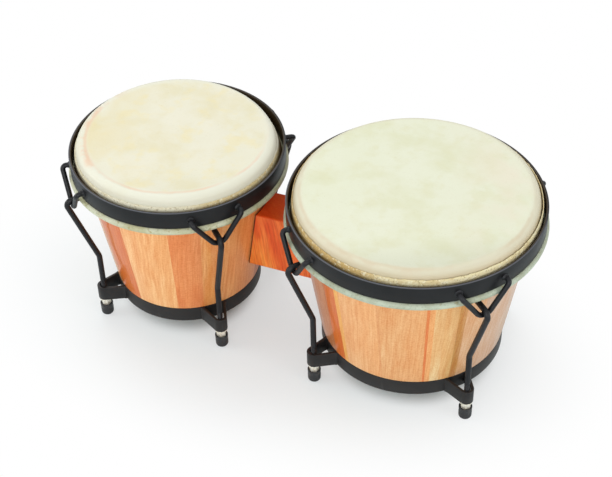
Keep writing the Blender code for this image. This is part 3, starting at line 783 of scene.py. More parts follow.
# Bottom rings and straps
# A flat steel band is bent round each shell's foot and butt welded at the back. Four strips, bent
# round the rods, are welded to it by their ends, and the whole is powder coated black.
RING_THICKNESS = 0.0020
RING_EASE = 0.0003
RING_WELD_WIDTH = 0.022
RING_WELD_PROUD = 0.00012
STRAP_THICKNESS = 0.0026
STRAP_FOOT_HALF = 0.0120
STRAP_NOSE = 0.0062
STRAP_EASE = 0.0005
STRAP_INSET = 0.0001
STRAP_STEPS = 12
WELD_FLARE = 0.0011
WELD_FADE = 0.0014
CORNERS = ("back_right", "back_left", "front_left", "front_right")
BAND_TURNS = 288


def band_section(inner, outer, low, high, ease):
    """The closed section of a flat band stood on edge, with its four edges eased."""
    section = arc((outer - ease, high - ease), ease, 90, 0, 3)
    section += arc((outer - ease, low + ease), ease, 0, -90, 3)
    section += arc((inner + ease, low + ease), ease, -90, -180, 3)
    return section + arc((inner + ease, high - ease), ease, 180, 90, 3)


def welded_band(name, section, weld_width, weld_proud, turns):
    """A bent band, with the dressed butt weld at its back standing proud of its outer face."""
    middle = (min(section)[0] + max(section)[0]) / 2

    def section_at(angle):
        off = abs((angle - pi / 2 + pi) % (2 * pi) - pi) / weld_width
        proud = weld_proud * max(0.0, 1.0 - off * off)
        return [(radius + (proud if radius > middle else 0.0), height) for radius, height in section]

    return turned_mesh(name, section_at, turns)


# A group for every coated or moulded black surface: pinholes, faint unevenness and rubbed edges.
# The paler edges are partly rubbed wear and partly a painted highlight.
coat_group, coat_in, coat_out = new_group(
    "Black Coat",
    (
        ("Body", "Color", (0.03, 0.03, 0.03, 1)),
        ("Rubbed", "Color", (0.1, 0.1, 0.1, 1)),
        ("Grain Scale", "Float", 900.0),
    ),
    (("Colour", "Color"), ("Roughness", "Float"), ("Height", "Float")),
)
coat_place = spot_on(coat_group)
coat_grain = noise_at(coat_group, coat_place, coat_in.outputs["Grain Scale"], 2.0)
patches = noise_at(coat_group, coat_place, 45.0, 4.0)
edges = fade(coat_group, add_node(coat_group, "NewGeometry").outputs["Pointiness"], 0.515, 0.60)
# Sharp edges are paler: partly rubbed wear, partly a painted highlight
rubbed_and_highlight = work_out(coat_group, "MULTIPLY", edges, fade(coat_group, patches, 0.35, 0.65))
faded = covered(coat_group, coat_in.outputs["Body"], patches, 0.35, coat_in.outputs["Rubbed"])
worn = covered(coat_group, faded, rubbed_and_highlight, 0.6, coat_in.outputs["Rubbed"])
rough = work_out(coat_group, "MULTIPLY_ADD", patches, 0.22, 0.28)
plug(coat_group, coat_out, Colour=worn, Roughness=rough, Height=coat_grain)


def black_coat(name, body, rubbed_and_highlight, grain_scale, strength):
    """A black finish made with the coat group."""
    material, tree, shader = new_material(name, 0.4, Specular_IOR_Level=0.27)
    plugs = (("Body", body), ("Rubbed", rubbed_and_highlight), ("Grain Scale", grain_scale))
    coat = add_node(tree, "Group", *plugs, node_tree=coat_group).outputs
    bump = raised(tree, coat["Height"], strength, 0.00004)
    plug(tree, shader, Base_Color=coat["Colour"], Roughness=coat["Roughness"], Normal=bump)
    return material


band_black = black_coat("black_powder_coat", paint(29, 28, 29), paint(72, 69, 67), 1100.0, 0.25)


def strap_rings(shell, reach):
    """Sections of one strap along its bend round the rod, in the strap's own frame at azimuth 0."""
    low, high = shell.ring_low + STRAP_INSET, shell.seat_top - STRAP_INSET
    half = STRAP_THICKNESS / 2
    nose = STRAP_NOSE - half
    foot_x = sqrt((shell.waist_radius - RING_THICKNESS / 2) ** 2 - STRAP_FOOT_HALF**2) - reach
    foot = Vector((foot_x, STRAP_FOOT_HALF - half))
    swing = atan2(foot.y, foot.x) - acos(nose / foot.length)
    touch = Vector((nose * cos(swing), nose * sin(swing)))
    path = [foot + (touch - foot) * step / STRAP_STEPS for step in range(STRAP_STEPS)]
    for step in range(STRAP_STEPS + 1):
        bend = swing * (1 - step / STRAP_STEPS)
        path.append(Vector((nose * cos(bend), nose * sin(bend))))
    path += [Vector((point.x, -point.y)) for point in reversed(path[:-1])]
    rings = []
    for i, point in enumerate(path):
        ahead = path[min(i + 1, len(path) - 1)] - path[max(i - 1, 0)]
        side = Vector((-ahead.y, ahead.x)).normalized()
        ring_at = hypot(point.x + reach, point.y) - shell.waist_radius
        wide = half + WELD_FLARE * max(0.0, 1 - abs(ring_at) / WELD_FADE) ** 2
        section = band_section(-wide, wide, low, high, STRAP_EASE)
        rings.append([(point.x + side.x * off, point.y + side.y * off, level) for off, level in section])
    ends = [[Vector((point.x, point.y, (low + high) / 2))] for point in (path[0], path[-1])]
    return [ends[0]] + rings + [ends[1]]


lugs = {}
for shell in shells.values():
    outer = shell.waist_radius
    section = band_section(outer - RING_THICKNESS, outer, shell.ring_low, shell.seat_top, RING_EASE)
    band_mesh = welded_band(f"{shell.name}_band", section, RING_WELD_WIDTH, RING_WELD_PROUD, BAND_TURNS)
    piece = add_piece(f"{shell.name}_foot_band", band_mesh, (band_black,), (shell.axis, 0.0, 0.0))
    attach(piece, "drums")
    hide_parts(f"{shell.name}_bottom_ring")
    for corner in CORNERS:
        washer_low, washer_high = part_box(f"{shell.name}_washer_{corner}")
        middle = (washer_low + washer_high) / 2
        azimuth = atan2(middle.y, middle.x - shell.axis)
        lugs[shell.name, corner] = (middle.x, middle.y, azimuth)
        rings = strap_rings(shell, hypot(middle.x - shell.axis, middle.y))
        name = f"{shell.name}_strap_{corner}"
        place = (middle.x, middle.y, 0.0)
        piece = add_piece(name, lofted_mesh(name, rings), (band_black,), place, (0, 0, azimuth))
        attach(piece, "drums")
        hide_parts(f"{shell.name}_bottom_ring")

# Flesh hoops
# A round steel wire hoop inside the lap of each hide. It can't be seen, but it is what the rim
# presses on.
HOOP_WIRE = 0.0040
HOOP_SIDES = 16
HOOP_TURNS = 192
for shell in shells.values():
    middle = (shell.hoop_radius - HOOP_WIRE / 2, shell.hoop_height)
    section = arc(middle, HOOP_WIRE / 2, 90, 90 - 360 * (HOOP_SIDES - 1) / HOOP_SIDES, HOOP_SIDES - 1)
    hoop_mesh = turned_mesh(f"{shell.name}_flesh_hoop", lambda angle: section, HOOP_TURNS)
    piece = add_piece(f"{shell.name}_steel_flesh_hoop", hoop_mesh, (zinc,), (shell.axis, 0.0, 0.0))
    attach(piece, "drums")
    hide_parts(f"{shell.name}_flesh_hoop")

# Rawhide heads
# One scraped hide for each drum, soaked, drawn over the rounded edge, lapped round the flesh hoop from
# below, and its tail trimmed by knife inside the rim. It dries hard, with creases at the crown.
HIDE_THICKNESS = 0.0009
HIDE_GAP = 0.0003
HOOP_CLEARANCE = 0.00035
RIM_THICKNESS = 0.0023
COLLAR_FLARE = 0.0006
LAP_START = 190
LAP_END = 450
HEAD_TURNS = 360
FLAT_SHARES = (0, 0.1, 0.2, 0.3, 0.4, 0.5, 0.6, 0.7, 0.8, 0.9, 0.96)
SIDE_SHARES = (0.12, 0.28, 0.45, 0.62, 0.80, 1.0)
TAIL_SHARES = (0.2, 0.4, 0.6, 0.75, 0.86, 0.94, 1.0)
# The tail leans in from the rim to rest by the collar, further out towards +X where it has a lean
TAIL_SET_IN = 0.0013
TAIL_BEND = 0.0011
TAIL_REST = {"small": 0.0017, "large": 0.0016}
TAIL_LEAN = {"small": 0.0, "large": 0.0010}
TAIL_HEIGHT = {"small": 0.0185, "large": 0.0205}
TAIL_CURVE = 0.8
TAIL_THINNING = 0.55
# How far the dried hide strays from its even shape
CROWN_SWELL = 0.00012
CROWN_FOLD = 0.00006
COLLAR_BULGE = 0.0003
TAIL_WAVE = 0.0007
TAIL_NICK = 0.0008
TAIL_PLEAT = 0.00015
HIDE_SEED = 7.3
# How far the hide's colourings, painted shade among them, reach from the crest, crease, collar and rim they
# follow
CREST_RISE = 0.0009
CREST_FALL = 0.0035
FLAT_SHADE = 0.0040
CREASE_WANDER = 0.0016
CREASE_NEAR = 0.0002
CREASE_FAR = 0.0024
BLOTCH_OUT = 0.0025
BLOTCH_NEAR = 0.0005
BLOTCH_FAR = 0.0055
TAIL_NEAR = 0.0012
TAIL_FAR = 0.0016
GAP_SHADE_FROM = 0.0025
GAP_SHADE_FULL = 0.0070
LAP_RISE = 0.0040
LAP_NEAR = 0.0010
LAP_FAR = 0.0020
# Crest and collar are the crown's colours from its top down, and the darkening between them is painted shade
HIDES = {
    "small": {
        "skin": (236, 233, 211),
        "mottle": (228, 219, 176),
        "fat": (238, 226, 174),
        "blush": (233, 217, 164),
        "blush_azimuth": 200,
        "crest": (234, 235, 218),
        "collar": (216, 212, 193),
        "crease": (236, 200, 168),
        "crease_azimuth": 200,
        "blotch": 0.8,
        "crease_out": -0.0018,
        "tail": (240, 237, 214),
        "stain": (218, 196, 138),
        "stain_azimuth": 10,
        # How strongly the front of the head is darkened as painted shade
        "painted_front_shade": 0.3,
        "lap": (204, 206, 180),
        "lap_shade": (186, 184, 146),
    },
    "large": {
        "skin": (234, 237, 213),
        "mottle": (222, 223, 184),
        "fat": (226, 226, 190),
        "blush": (241, 229, 208),
        "blush_azimuth": 20,
        "crest": (226, 222, 198),
        "collar": (198, 183, 152),
        "crease": (214, 198, 168),
        "crease_azimuth": 250,
        "blotch": 0.4,
        "crease_out": 0.0016,
        "tail": (234, 222, 178),
        "stain": (202, 166, 96),
        "stain_azimuth": 200,
        # How strongly the front of the head is darkened as painted shade
        "painted_front_shade": 1.0,
        "lap": (188, 198, 178),
        "lap_shade": (168, 174, 150),
    },
}


def uneven(angle, scale, seed):
    """Smooth unevenness round a drum, the same in each run, between about -1 and 1."""
    return noise.noise(Vector((cos(angle) * scale, sin(angle) * scale, seed)))


def hide_sections(shell, seed):
    """A function that gives the closed skin's section for an angle round the drum."""
    hoop = (shell.hoop_radius - HOOP_WIRE / 2, shell.hoop_height)
    half = HIDE_THICKNESS / 2
    off = HIDE_GAP + half
    wrap = HOOP_WIRE / 2 + HOOP_CLEARANCE + half
    crown = arc((shell.crest_radius, shell.edge_bottom), (EDGE_WIDTH + off, EDGE_DROP + off), 90, 0, 22)
    collar = crown[-1][0]
    lap = arc(hoop, wrap, LAP_START, LAP_END, 26)
    tail_radius = shell.rim_radius - RIM_THICKNESS - SEAT_GAP - TAIL_SET_IN
    bend = arc((tail_radius + TAIL_BEND, lap[-1][1] + TAIL_BEND), TAIL_BEND, 270, 180, 5)
    foot = bend[-1][1]
    flat = [(shell.crest_radius * share, crown[0][1]) for share in FLAT_SHARES]

    def section_at(angle):
        pull = uneven(angle, 2.0, seed)
        pleat = uneven(angle, 9.0, seed + 5)
        tuck = uneven(angle, 30.0, seed + 7)
        ragged = TAIL_WAVE * uneven(angle, 6.0, seed + 9) + TAIL_NICK * uneven(angle, 44.0, seed)
        tail_end = shell.rim_low + TAIL_HEIGHT[shell.name] + ragged
        top = [(radius, height + CROWN_SWELL * pull * radius / shell.crest_radius) for radius, height in flat]
        folded = []
        for step, (radius, height) in enumerate(crown):
            share = step / (len(crown) - 1)
            swell = CROWN_SWELL * share * (1 + tuck) + CROWN_FOLD * sin(5 * pi * share + 2 * pull)
            folded.append((radius + swell * share, height + swell * (1 - share)))
        side = []
        for share in SIDE_SHARES:
            bulge = COLLAR_BULGE * sin(pi * share) * (1 + pleat)
            height = shell.edge_bottom + (shell.rim_low + HIDE_GAP - shell.edge_bottom) * share
            side.append((collar + COLLAR_FLARE * share**2 + bulge, height))
        rest = shell.top_radius + TAIL_REST[shell.name] + TAIL_LEAN[shell.name] * max(0.0, cos(angle))
        tail = []
        for share in TAIL_SHARES:
            leaning = tail_radius + (rest - tail_radius) * share**TAIL_CURVE + TAIL_PLEAT * pleat * share
            tail.append((leaning, foot + (tail_end - foot) * share))
        middle = top + folded + side + lap + bend + tail
        outer, inner = [], []
        for place, (radius, height) in enumerate(middle):
            before = middle[max(place - 1, 0)]
            after = middle[min(place + 1, len(middle) - 1)]
            run, rise = after[0] - before[0], after[1] - before[1]
            thick = half / hypot(run, rise) * (TAIL_THINNING if place == len(middle) - 1 else 1.0)
            outer.append((radius - rise * thick, height + run * thick))
            inner.append((radius + rise * thick, height - run * thick))
        outer[0] = (0.0, outer[0][1])
        inner[0] = (0.0, inner[0][1])
        return outer + inner[::-1]

    return section_at


def rawhide(shell, colours):
    """Dried hide: cream, mottled by the fat and hair side, golden where folded, with painted shade down the
    crown.
    """
    material, tree, shader = new_material(
        f"{shell.name}_rawhide", 0.5, Specular_IOR_Level=0.35, Coat_Weight=0.08, Coat_Roughness=0.35
    )
    place = spot_on(tree)
    x, y, z = parts_of(tree, place)
    flat_place = vector_of(tree, x, y)
    reach = work_on(tree, "LENGTH", flat_place)

    def cloud(scale, detail, low, high):
        return fade(tree, noise_at(tree, place, scale, detail, 0.6), low, high)

    def facing(azimuth, low, high):
        """1 on the side of the drum that lies towards an azimuth in degrees."""
        along = work_on(tree, "DOT_PRODUCT", flat_place, (cos(radians(azimuth)), sin(radians(azimuth)), 0))
        return fade(tree, work_out(tree, "DIVIDE", along, shell.top_radius), low, high)

    def both(*masks):
        return work_out(tree, "MULTIPLY", *masks)

    def off(radius):
        """How far a place lies from a circle round the drum's axis."""
        return work_out(tree, "ABSOLUTE", work_out(tree, "SUBTRACT", reach, radius))

    def seen(name):
        return paint(*colours[name])

    colour = covered(tree, seen("skin"), cloud(26, 4, 0.42, 0.72), 0.6, seen("mottle"))
    colour = tinted(tree, colour, cloud(9, 2, 0.40, 0.62), 0.5, (0.96, 0.97, 0.92))
    colour = covered(tree, colour, cloud(48, 3, 0.50, 0.70), 0.5, seen("fat"))
    blush = both(facing(colours["blush_azimuth"], 0.1, 1.0), cloud(17, 3, 0.38, 0.62))
    colour = covered(tree, colour, blush, 0.6, seen("blush"))
    # Painted shade: the front of the head is darkened, by a share set for each hide
    colour = tinted(tree, colour, facing(295, 0.55, 1.0), colours["painted_front_shade"], (0.85, 0.85, 0.84))
    colour = covered(tree, colour, cloud(900, 2, 0.64, 0.72), 0.2, paint(176, 160, 118))

    # Painted shade: the crown darkens from the crest colour to the collar colour as it falls away from the
    # light
    fall = fade(tree, z, shell.crest + CREST_RISE, shell.crest - CREST_FALL, "LINEAR")
    crown = mixed(tree, fall, seen("crest"), seen("collar"))
    crease_at = shell.crest_radius + colours["crease_out"]
    edge = fade(tree, reach, crease_at - FLAT_SHADE, crease_at + CREST_FALL)
    colour = covered(tree, colour, edge, 0.85, crown)
    line = off(work_out(tree, "MULTIPLY_ADD", cloud(60, 2, 0.2, 0.8), CREASE_WANDER, crease_at))
    crease = both(fade(tree, line, CREASE_FAR, CREASE_NEAR), cloud(22, 2, 0.30, 0.60))
    crease = both(crease, facing(270, -0.7, 0.3))
    colour = covered(tree, colour, crease, 0.6, seen("crease"))
    blotch = fade(tree, off(crease_at + BLOTCH_OUT), BLOTCH_FAR, BLOTCH_NEAR)
    blotch = both(blotch, cloud(60, 3, 0.40, 0.62))
    blotch = both(blotch, facing(colours["crease_azimuth"], 0.45, 0.95))
    colour = covered(tree, colour, blotch, colours["blotch"], seen("crease"))

    tail = covered(tree, seen("tail"), cloud(45, 3, 0.42, 0.62), 0.4, seen("stain"))
    tail = covered(tree, tail, facing(colours["stain_azimuth"], 0.1, 0.7), 0.85, seen("stain"))
    tail = covered(tree, tail, cloud(330, 3, 0.52, 0.64), 0.7, paint(246, 240, 212))
    tail = covered(tree, tail, cloud(420, 3, 0.56, 0.66), 0.5, paint(150, 120, 62))
    standing = fade(tree, reach, shell.top_radius + TAIL_NEAR, shell.top_radius + TAIL_FAR)
    colour = mixed(tree, standing, colour, tail)
    # Painted shade: dark brown below the rim's top, where the gap between the tail and the rim lies in shade
    gap_shade = fade(tree, z, shell.rim_top - GAP_SHADE_FROM, shell.rim_top - GAP_SHADE_FULL)
    colour = covered(tree, colour, gap_shade, 0.8, paint(122, 82, 38))

    low = fade(tree, z, shell.rim_low + LAP_RISE, shell.rim_low)
    outside = both(low, fade(tree, reach, shell.top_radius + LAP_NEAR, shell.top_radius + LAP_FAR))
    lap_skin = mixed(tree, cloud(55, 4, 0.35, 0.65), seen("lap"), seen("lap_shade"))
    lap_skin = covered(tree, lap_skin, cloud(210, 3, 0.58, 0.70), 0.7, paint(160, 142, 84))
    lap_skin = tinted(tree, lap_skin, cloud(480, 3, 0.54, 0.66), 0.6, (0.66, 0.68, 0.62))
    colour = mixed(tree, outside, colour, lap_skin)
    worn = cloud(70, 4, 0.40, 0.70)
    rough = work_out(tree, "MULTIPLY_ADD", worn, 0.16, 0.44)
    pores = noise_at(tree, place, 1500.0, 2.0)
    height = work_out(tree, "MULTIPLY_ADD", worn, 0.4, work_out(tree, "SUBTRACT", pores, crease))
    plug(tree, shader, Base_Color=colour, Roughness=rough, Normal=raised(tree, height, 0.30, 0.00012))
    return material


for seed, shell in enumerate(shells.values(), start=3):
    hide = hide_sections(shell, seed * HIDE_SEED)
    head_mesh = drawn_in(turned_mesh(f"{shell.name}_head", hide, HEAD_TURNS, closed=False), shell)
    skin = rawhide(shell, HIDES[shell.name])
    piece = add_piece(f"{shell.name}_rawhide_head", head_mesh, (skin,), (shell.axis, 0.0, 0.0))
    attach(piece, "drums")
    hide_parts(f"{shell.name}_head")

# Rims
# A flat steel hoop presses down on the lapped flesh hoop. It is bent from strip with its edges
# eased, butt welded at the back, and powder coated black.
RIM_EASE = 0.0006
RIM_WELD_WIDTH = 0.020
RIM_WELD_PROUD = 0.00015
# The brown stain goes inwards from the outer face, and the painted highlight goes down from the top in front
STAIN_FROM = 0.0008
STAIN_FULL = 0.0015
HIGHLIGHT_FROM = 0.0012
HIGHLIGHT_FULL = 0.0006
HIGHLIGHT_DROP = 0.0010
HIGHLIGHT_FRONT = 0.03


def rim_coat(shell):
    """The rim's black coat, stained brown by the hide inside, with a painted highlight along its top edge in
    front.
    """
    name = f"{shell.name}_rim_powder_coat"
    material = black_coat(name, paint(10, 10, 11), paint(48, 48, 52), 900.0, 0.3)
    tree = material.node_tree
    x, y, z = parts_of(tree, spot_on(tree))
    reach = work_on(tree, "LENGTH", vector_of(tree, x, y))
    outer, top = shell.rim_radius, shell.rim_top
    shader = tree.nodes["Principled BSDF"]
    coat = shader.inputs["Base Color"].links[0].from_socket
    inside = fade(tree, reach, outer - STAIN_FROM, outer - STAIN_FULL)
    stained = covered(tree, coat, inside, 0.8, paint(56, 44, 24))
    # Painted highlight: a pale bluish line along the top outer edge, on the front half only
    edge = fade(tree, reach, outer - HIGHLIGHT_FROM, outer - HIGHLIGHT_FULL)
    for mask in (fade(tree, z, top - HIGHLIGHT_DROP, top), fade(tree, y, HIGHLIGHT_FRONT, -HIGHLIGHT_FRONT)):
        edge = work_out(tree, "MULTIPLY", edge, mask)
    plug(tree, shader, Base_Color=covered(tree, stained, edge, 0.6, paint(110, 112, 120)))
    return material


for shell in shells.values():
    outer = shell.rim_radius
    section = band_section(outer - RIM_THICKNESS, outer, shell.rim_low, shell.rim_top, RIM_EASE)
    rim_mesh = welded_band(f"{shell.name}_rim", section, RIM_WELD_WIDTH, RIM_WELD_PROUD, HEAD_TURNS)
    piece = add_piece(f"{shell.name}_steel_rim", rim_mesh, (rim_coat(shell),), (shell.axis, 0.0, 0.0))
    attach(piece, f"{shell.name}_rim_and_rods")
    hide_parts(f"{shell.name}_rim")

# Wire ears
# Each ear is a steel wire bent to a V with two short stubs, which are welded to the rim's outer
# face before it is coated. The rod's hook hangs in the bottom of the V.
EAR_WIRE = 0.0046
EAR_STANDOFF = 0.0042
EAR_HALF_WIDTH = 0.0212
EAR_STUB_DROP = 0.0088
EAR_DEPTH = 0.0270
EAR_TOP_BEND = 0.0034
EAR_BOTTOM_BEND = 0.0078
EAR_GAP = 0.0003
EAR_STEPS = 12
EAR_SPACING = 0.0006
# How far the two upper bends of an ear stand out past the others, where it was bent unevenly
EAR_SKEW = {("small", "back_right"): (0.0020, -0.0018), ("large", "back_right"): (-0.0018, -0.0018)}
BEAD_REACH = 0.0016
BEAD_PROUD = 0.0011
BEAD_RIPPLE = 0.18
BEAD_LOBES = 5
BEAD_PHASE = 40
WIRE_SIDES = 20


def rounded_path(corners, turns, steps, spacing):
    """A fine path through corner points. turns gives each inner corner's bend radius."""
    corners = [Vector(corner) for corner in corners]
    path = [corners[0]]
    for before, corner, after, radius in zip(corners, corners[1:], corners[2:], turns):
        to_before = (before - corner).normalized()
        to_after = (after - corner).normalized()
        half_angle = to_before.angle(to_after) / 2
        middle = corner + (to_before + to_after).normalized() * (radius / sin(half_angle))
        first = corner + to_before * (radius / tan(half_angle)) - middle
        last = corner + to_after * (radius / tan(half_angle)) - middle
        sweep = first.angle(last)
        run_to(path, middle + first, spacing)
        for step in range(1, steps + 1):
            near = sin(sweep * (1 - step / steps)) / sin(sweep)
            far = sin(sweep * step / steps) / sin(sweep)
            path.append(middle + first * near + last * far)
    run_to(path, corners[-1], spacing)
    return path


def run_to(path, end, spacing):
    """Extends a path in a straight run to its end, with points no further apart than the spacing."""
    start = path[-1]
    count = max(1, round((end - start).length / spacing))
    path += [start + (end - start) * step / count for step in range(1, count + 1)]


def wire_mesh(name, path, radius_at):
    """A round wire along a path, as one closed skin. radius_at gives its radius by length and turn."""
    tangents = []
    for place in range(len(path)):
        ahead = path[min(place + 1, len(path) - 1)] - path[max(place - 1, 0)]
        tangents.append(ahead.normalized())
    normal = tangents[0].orthogonal().normalized()
    rings = [[path[0].copy()]]
    length = 0.0
    for place, (point, tangent) in enumerate(zip(path, tangents)):
        if place:
            normal = tangents[place - 1].rotation_difference(tangent) @ normal
            length += (point - path[place - 1]).length
        across = tangent.cross(normal)
        ring = []
        for side in range(WIRE_SIDES):
            turn = 2 * pi * side / WIRE_SIDES
            radius = radius_at(length, turn)
            ring.append(point + (normal * cos(turn) + across * sin(turn)) * radius)
        rings.append(ring)
    rings.append([path[-1].copy()])
    return lofted_mesh(name, rings)


def path_length(path):
    return sum((after - before).length for before, after in zip(path, path[1:]))


def ear_path(rim_radius, stub_height, near, far):
    """The ear's wire at azimuth 0: stub, leg, rounded bottom, leg and stub.

    near and far move the two upper bends out.
    """
    half_turn = asin(EAR_HALF_WIDTH / rim_radius)
    out = rim_radius + EAR_STANDOFF
    root = rim_radius + EAR_GAP
    side = out * tan(half_turn)
    rise = EAR_DEPTH - EAR_BOTTOM_BEND
    leg = atan2(side, rise) - asin(EAR_BOTTOM_BEND / hypot(side, rise))
    point = stub_height - EAR_DEPTH - EAR_BOTTOM_BEND * (1 / sin(leg) - 1)
    corners = [
        (root * cos(half_turn), -root * sin(half_turn), stub_height),
        (out + near, -side, stub_height),
        (out, 0.0, point),
        (out + far, side, stub_height),
        (root * cos(half_turn), root * sin(half_turn), stub_height),
    ]
    return rounded_path(corners, (EAR_TOP_BEND, EAR_BOTTOM_BEND, EAR_TOP_BEND), EAR_STEPS, EAR_SPACING)


wire_black = black_coat("wire_black_coat", paint(13, 13, 14), paint(54, 56, 62), 1400.0, 0.2)
for shell in shells.values():
    for corner in CORNERS:
        skew = EAR_SKEW.get((shell.name, corner), (0.0, 0.0))
        path = ear_path(shell.rim_radius, shell.rim_top - EAR_STUB_DROP, *skew)
        whole = path_length(path)

        def ear_radius(length, turn):
            """The wire, swollen at both roots by the weld bead, whose edge is rippled."""
            root = min(length, whole - length)
            ripple = 1 + BEAD_RIPPLE * sin(BEAD_LOBES * turn + BEAD_PHASE * shell.top_radius)
            bead = BEAD_PROUD * max(0.0, 1 - root / BEAD_REACH) ** 1.5 * ripple
            return EAR_WIRE / 2 + bead

        ear_mesh = wire_mesh(f"{shell.name}_ear_{corner}", path, ear_radius)
        azimuth = lugs[shell.name, corner][2]
        name = f"{shell.name}_wire_ear_{corner}"
        piece = add_piece(name, ear_mesh, (wire_black,), (shell.axis, 0, 0), (0, 0, azimuth))
        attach(piece, f"{shell.name}_rim_and_rods")
        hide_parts(f"{shell.name}_ear_{corner}")

# Tension rods
# Steel rods, hooked over the ears at the top and bent once, so that they follow the shell and then
# hang plumb through the straps. A rolled thread runs from just above the strap to the lower end.
ROD_DIAMETER = 0.0052
THREAD_DIAMETER = 0.0050
THREAD_RISE = 0.0060
THREAD_PITCH = 0.0008
THREAD_DEPTH = 0.00045
THREAD_SHOWN_TO = 0.0180
HOOK_TIP = 0.0110
HOOK_STEPS = 18
ROD_SPACING = 0.002
ROD_BEND_RADIUS = 0.0120
ROD_BEND_STEPS = 14
ROD_BEND_RISE = {"small": 0.0355, "large": 0.0395}
ROD_END_EASE = 0.0007
ROD_END_SHARE = 0.6


def rod_path(shell, ear_radius, ear_bottom, rod_radius, rod_end):
    """The rod's middle line at azimuth 0, from the hook's tip to the lower end."""
    hook_radius = EAR_WIRE / 2 + ROD_DIAMETER / 2 + EAR_GAP
    bend_height = shell.seat_top + ROD_BEND_RISE[shell.name]
    fall = Vector((rod_radius - ear_radius, bend_height - ear_bottom))
    slant = atan2(-fall.x, -fall.y) + asin(hook_radius / fall.length)
    hook = []
    for step in range(HOOK_STEPS + 1):
        turn = (pi / 2 + slant) * step / HOOK_STEPS
        hook.append(Vector((ear_radius + hook_radius * sin(turn), 0.0, ear_bottom + hook_radius * cos(turn))))
    path = [Vector((ear_radius - HOOK_TIP, 0.0, ear_bottom + hook_radius))]
    run_to(path, path[0] + Vector((ROD_END_EASE, 0, 0)), ROD_END_EASE / 3)
    run_to(path, hook[0], ROD_SPACING)
    path += hook[1:]
    bend = (rod_radius, 0.0, bend_height)
    thread_top = (rod_radius, 0.0, shell.seat_top + THREAD_RISE)
    corners = [hook[-1], bend, thread_top]
    path += rounded_path(corners, (ROD_BEND_RADIUS,), ROD_BEND_STEPS, 2 * ROD_SPACING)[1:]
    for height, spacing in (
        (THREAD_SHOWN_TO, THREAD_PITCH / 6),
        (rod_end + ROD_END_EASE, ROD_SPACING),
        (rod_end, ROD_END_EASE / 3),
    ):
        run_to(path, Vector((rod_radius, 0.0, height)), spacing)
    return path


for shell in shells.values():
    ear_bottom = shell.rim_top - EAR_STUB_DROP - EAR_DEPTH
    rod_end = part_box(f"{shell.name}_rod_back_left")[0].z
    rod_x, rod_y, azimuth = lugs[shell.name, "back_left"]
    rod_reach = hypot(rod_x - shell.axis, rod_y)
    path = rod_path(shell, shell.rim_radius + EAR_STANDOFF, ear_bottom, rod_reach, rod_end)
    whole = path_length(path)
    thread_from = whole - (shell.seat_top + THREAD_RISE - rod_end)
    thread_to = whole - (THREAD_SHOWN_TO - rod_end)

    def rod_radius_at(length, turn):
        """Plain rod, eased at both ends, with a helical thread cut in its lower part."""
        end = min(1.0, min(length, whole - length) / ROD_END_EASE)
        ease = ROD_END_SHARE + (1 - ROD_END_SHARE) * sqrt(max(0.0, 1 - (1 - end) ** 2))
        if length < thread_from:
            return ROD_DIAMETER / 2 * ease
        if length > thread_to:
            return (THREAD_DIAMETER / 2 - THREAD_DEPTH / 2) * ease
        run_in = min(1.0, (length - thread_from) / THREAD_PITCH)
        phase = ((length - thread_from) / THREAD_PITCH + turn / (2 * pi)) % 1.0
        return THREAD_DIAMETER / 2 - THREAD_DEPTH * run_in * abs(2 * phase - 1)

    rod_mesh = wire_mesh(f"{shell.name}_rod", path, rod_radius_at)
    rod_mesh.materials.append(wire_black)
    for corner in CORNERS:
        azimuth = lugs[shell.name, corner][2]
        name = f"{shell.name}_tension_rod_{corner}"
        piece = add_piece(name, rod_mesh, (), (shell.axis, 0, 0), (0, 0, azimuth))
        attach(piece, f"{shell.name}_rim_and_rods")
        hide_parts(f"{shell.name}_rod_{corner}")

# Washers
# A plain zinc washer on each rod, between the strap and the nut. Its bore clears the rod's thread,
# and the nut and the foot below it have the same bore.
LUG_BORE = 0.00285
LUG_WASHER_RADIUS = 0.0057
LUG_WASHER_EASE = 0.00025
for shell in shells.values():
    low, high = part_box(f"{shell.name}_washer_back_left")
    section = plate_section(LUG_BORE, LUG_WASHER_RADIUS, high.z - low.z, LUG_WASHER_EASE)
    washer_mesh = turned_mesh(f"{shell.name}_washer", lambda angle: section, PLATE_TURNS)
    washer_mesh.materials.append(zinc)
    for corner in CORNERS:
        x, y, azimuth = lugs[shell.name, corner]
        name = f"{shell.name}_zinc_washer_{corner}"
        piece = add_piece(name, washer_mesh, (), (x, y, low.z), (0, 0, azimuth))
        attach(piece, "drums")
        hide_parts(f"{shell.name}_washer_{corner}")

# Tuning nuts
# Hexagon nuts with turned-off corners and countersunk threads. Turning them draws the rods down and
# tightens the head. Each sits in the top of its rubber foot.
NUT_FLATS = 0.0080
COUNTERSINK = 0.0004
for shell in shells.values():
    low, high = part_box(f"{shell.name}_nut_back_left")
    tall = high.z - low.z
    wide = LUG_BORE + COUNTERSINK
    bore = [(wide, 0.0), (LUG_BORE, COUNTERSINK), (LUG_BORE, tall - COUNTERSINK), (wide, tall)]
    nut_mesh = turned_mesh(
        f"{shell.name}_nut", lambda angle: chamfered(angle, NUT_FLATS, tall, True) + bore, HEX_TURNS
    )
    nut_mesh.materials.append(zinc)
    for corner in CORNERS:
        x, y, azimuth = lugs[shell.name, corner]
        piece = add_piece(f"{shell.name}_zinc_nut_{corner}", nut_mesh, (), (x, y, low.z), (0, 0, azimuth))
        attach(piece, f"{shell.name}_foot_nut_{corner}")
        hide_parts(f"{shell.name}_nut_{corner}")

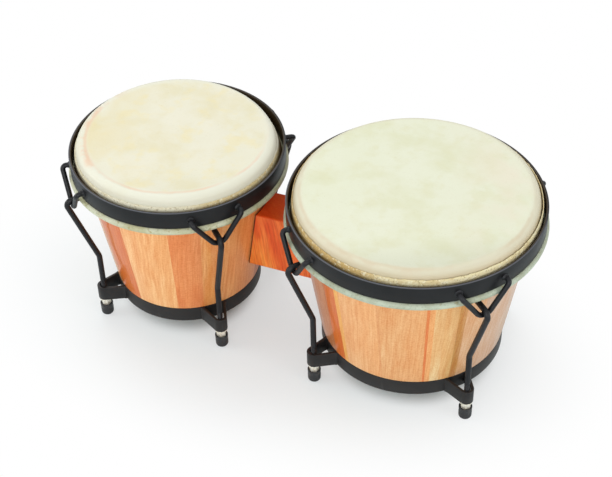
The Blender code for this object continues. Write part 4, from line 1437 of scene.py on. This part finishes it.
# Rubber feet
# Moulded rubber caps pushed over the nuts. They hide the ends of the rods and stop the drums from
# slipping and scratching what they stand on.
CAP_WALL = 0.0010
CAP_FLOOR = 0.0028
CAP_ROUNDING = 0.0030
CAP_LIP = 0.0004
CAP_COLLAR = 0.0020
CAP_STEP = 0.0003
CAP_INSET = 0.00015
MOULD_LINE = 0.00012


def cap_section(height, nut_bottom):
    """A rubber foot's section: well, socket, rolled lip, side with its mould line, rounded base."""
    socket = NUT_FLATS / 2 / cos(pi / 6) + SEAT_GAP
    outer = socket + CAP_WALL
    side = outer - CAP_INSET
    seat = nut_bottom - SEAT_GAP
    waist = height * 0.5
    section = [(0.0, CAP_FLOOR), (LUG_BORE, CAP_FLOOR), (LUG_BORE, seat), (socket, seat)]
    section += [(socket, height - CAP_LIP)]
    section += arc((socket + CAP_LIP, height - CAP_LIP), CAP_LIP, 180, 90, 3)[1:]
    section += arc((outer - CAP_LIP, height - CAP_LIP), CAP_LIP, 90, 0, 3)
    section += [(outer, height - CAP_COLLAR), (side, height - CAP_COLLAR - CAP_STEP)]
    section += [(side, waist + MOULD_LINE), (side + MOULD_LINE, waist), (side, waist - MOULD_LINE)]
    section += arc((side - CAP_ROUNDING, CAP_ROUNDING), CAP_ROUNDING, 0, -90, 8)
    return section + [(0.0, 0.0)]


rubber = black_coat("foot_rubber", paint(43, 43, 44), paint(78, 78, 80), 2200.0, 0.5)
for shell in shells.values():
    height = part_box(f"{shell.name}_foot_back_left")[1].z
    section = cap_section(height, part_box(f"{shell.name}_nut_back_left")[0].z)
    foot_mesh = turned_mesh(f"{shell.name}_foot", lambda angle: section, PLATE_TURNS, closed=False)
    foot_mesh.materials.append(rubber)
    for corner in CORNERS:
        x, y, azimuth = lugs[shell.name, corner]
        name = f"{shell.name}_rubber_foot_{corner}"
        piece = add_piece(name, foot_mesh, (), (x, y, 0.0), (0, 0, azimuth))
        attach(piece, f"{shell.name}_foot_nut_{corner}")
        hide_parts(f"{shell.name}_foot_{corner}")
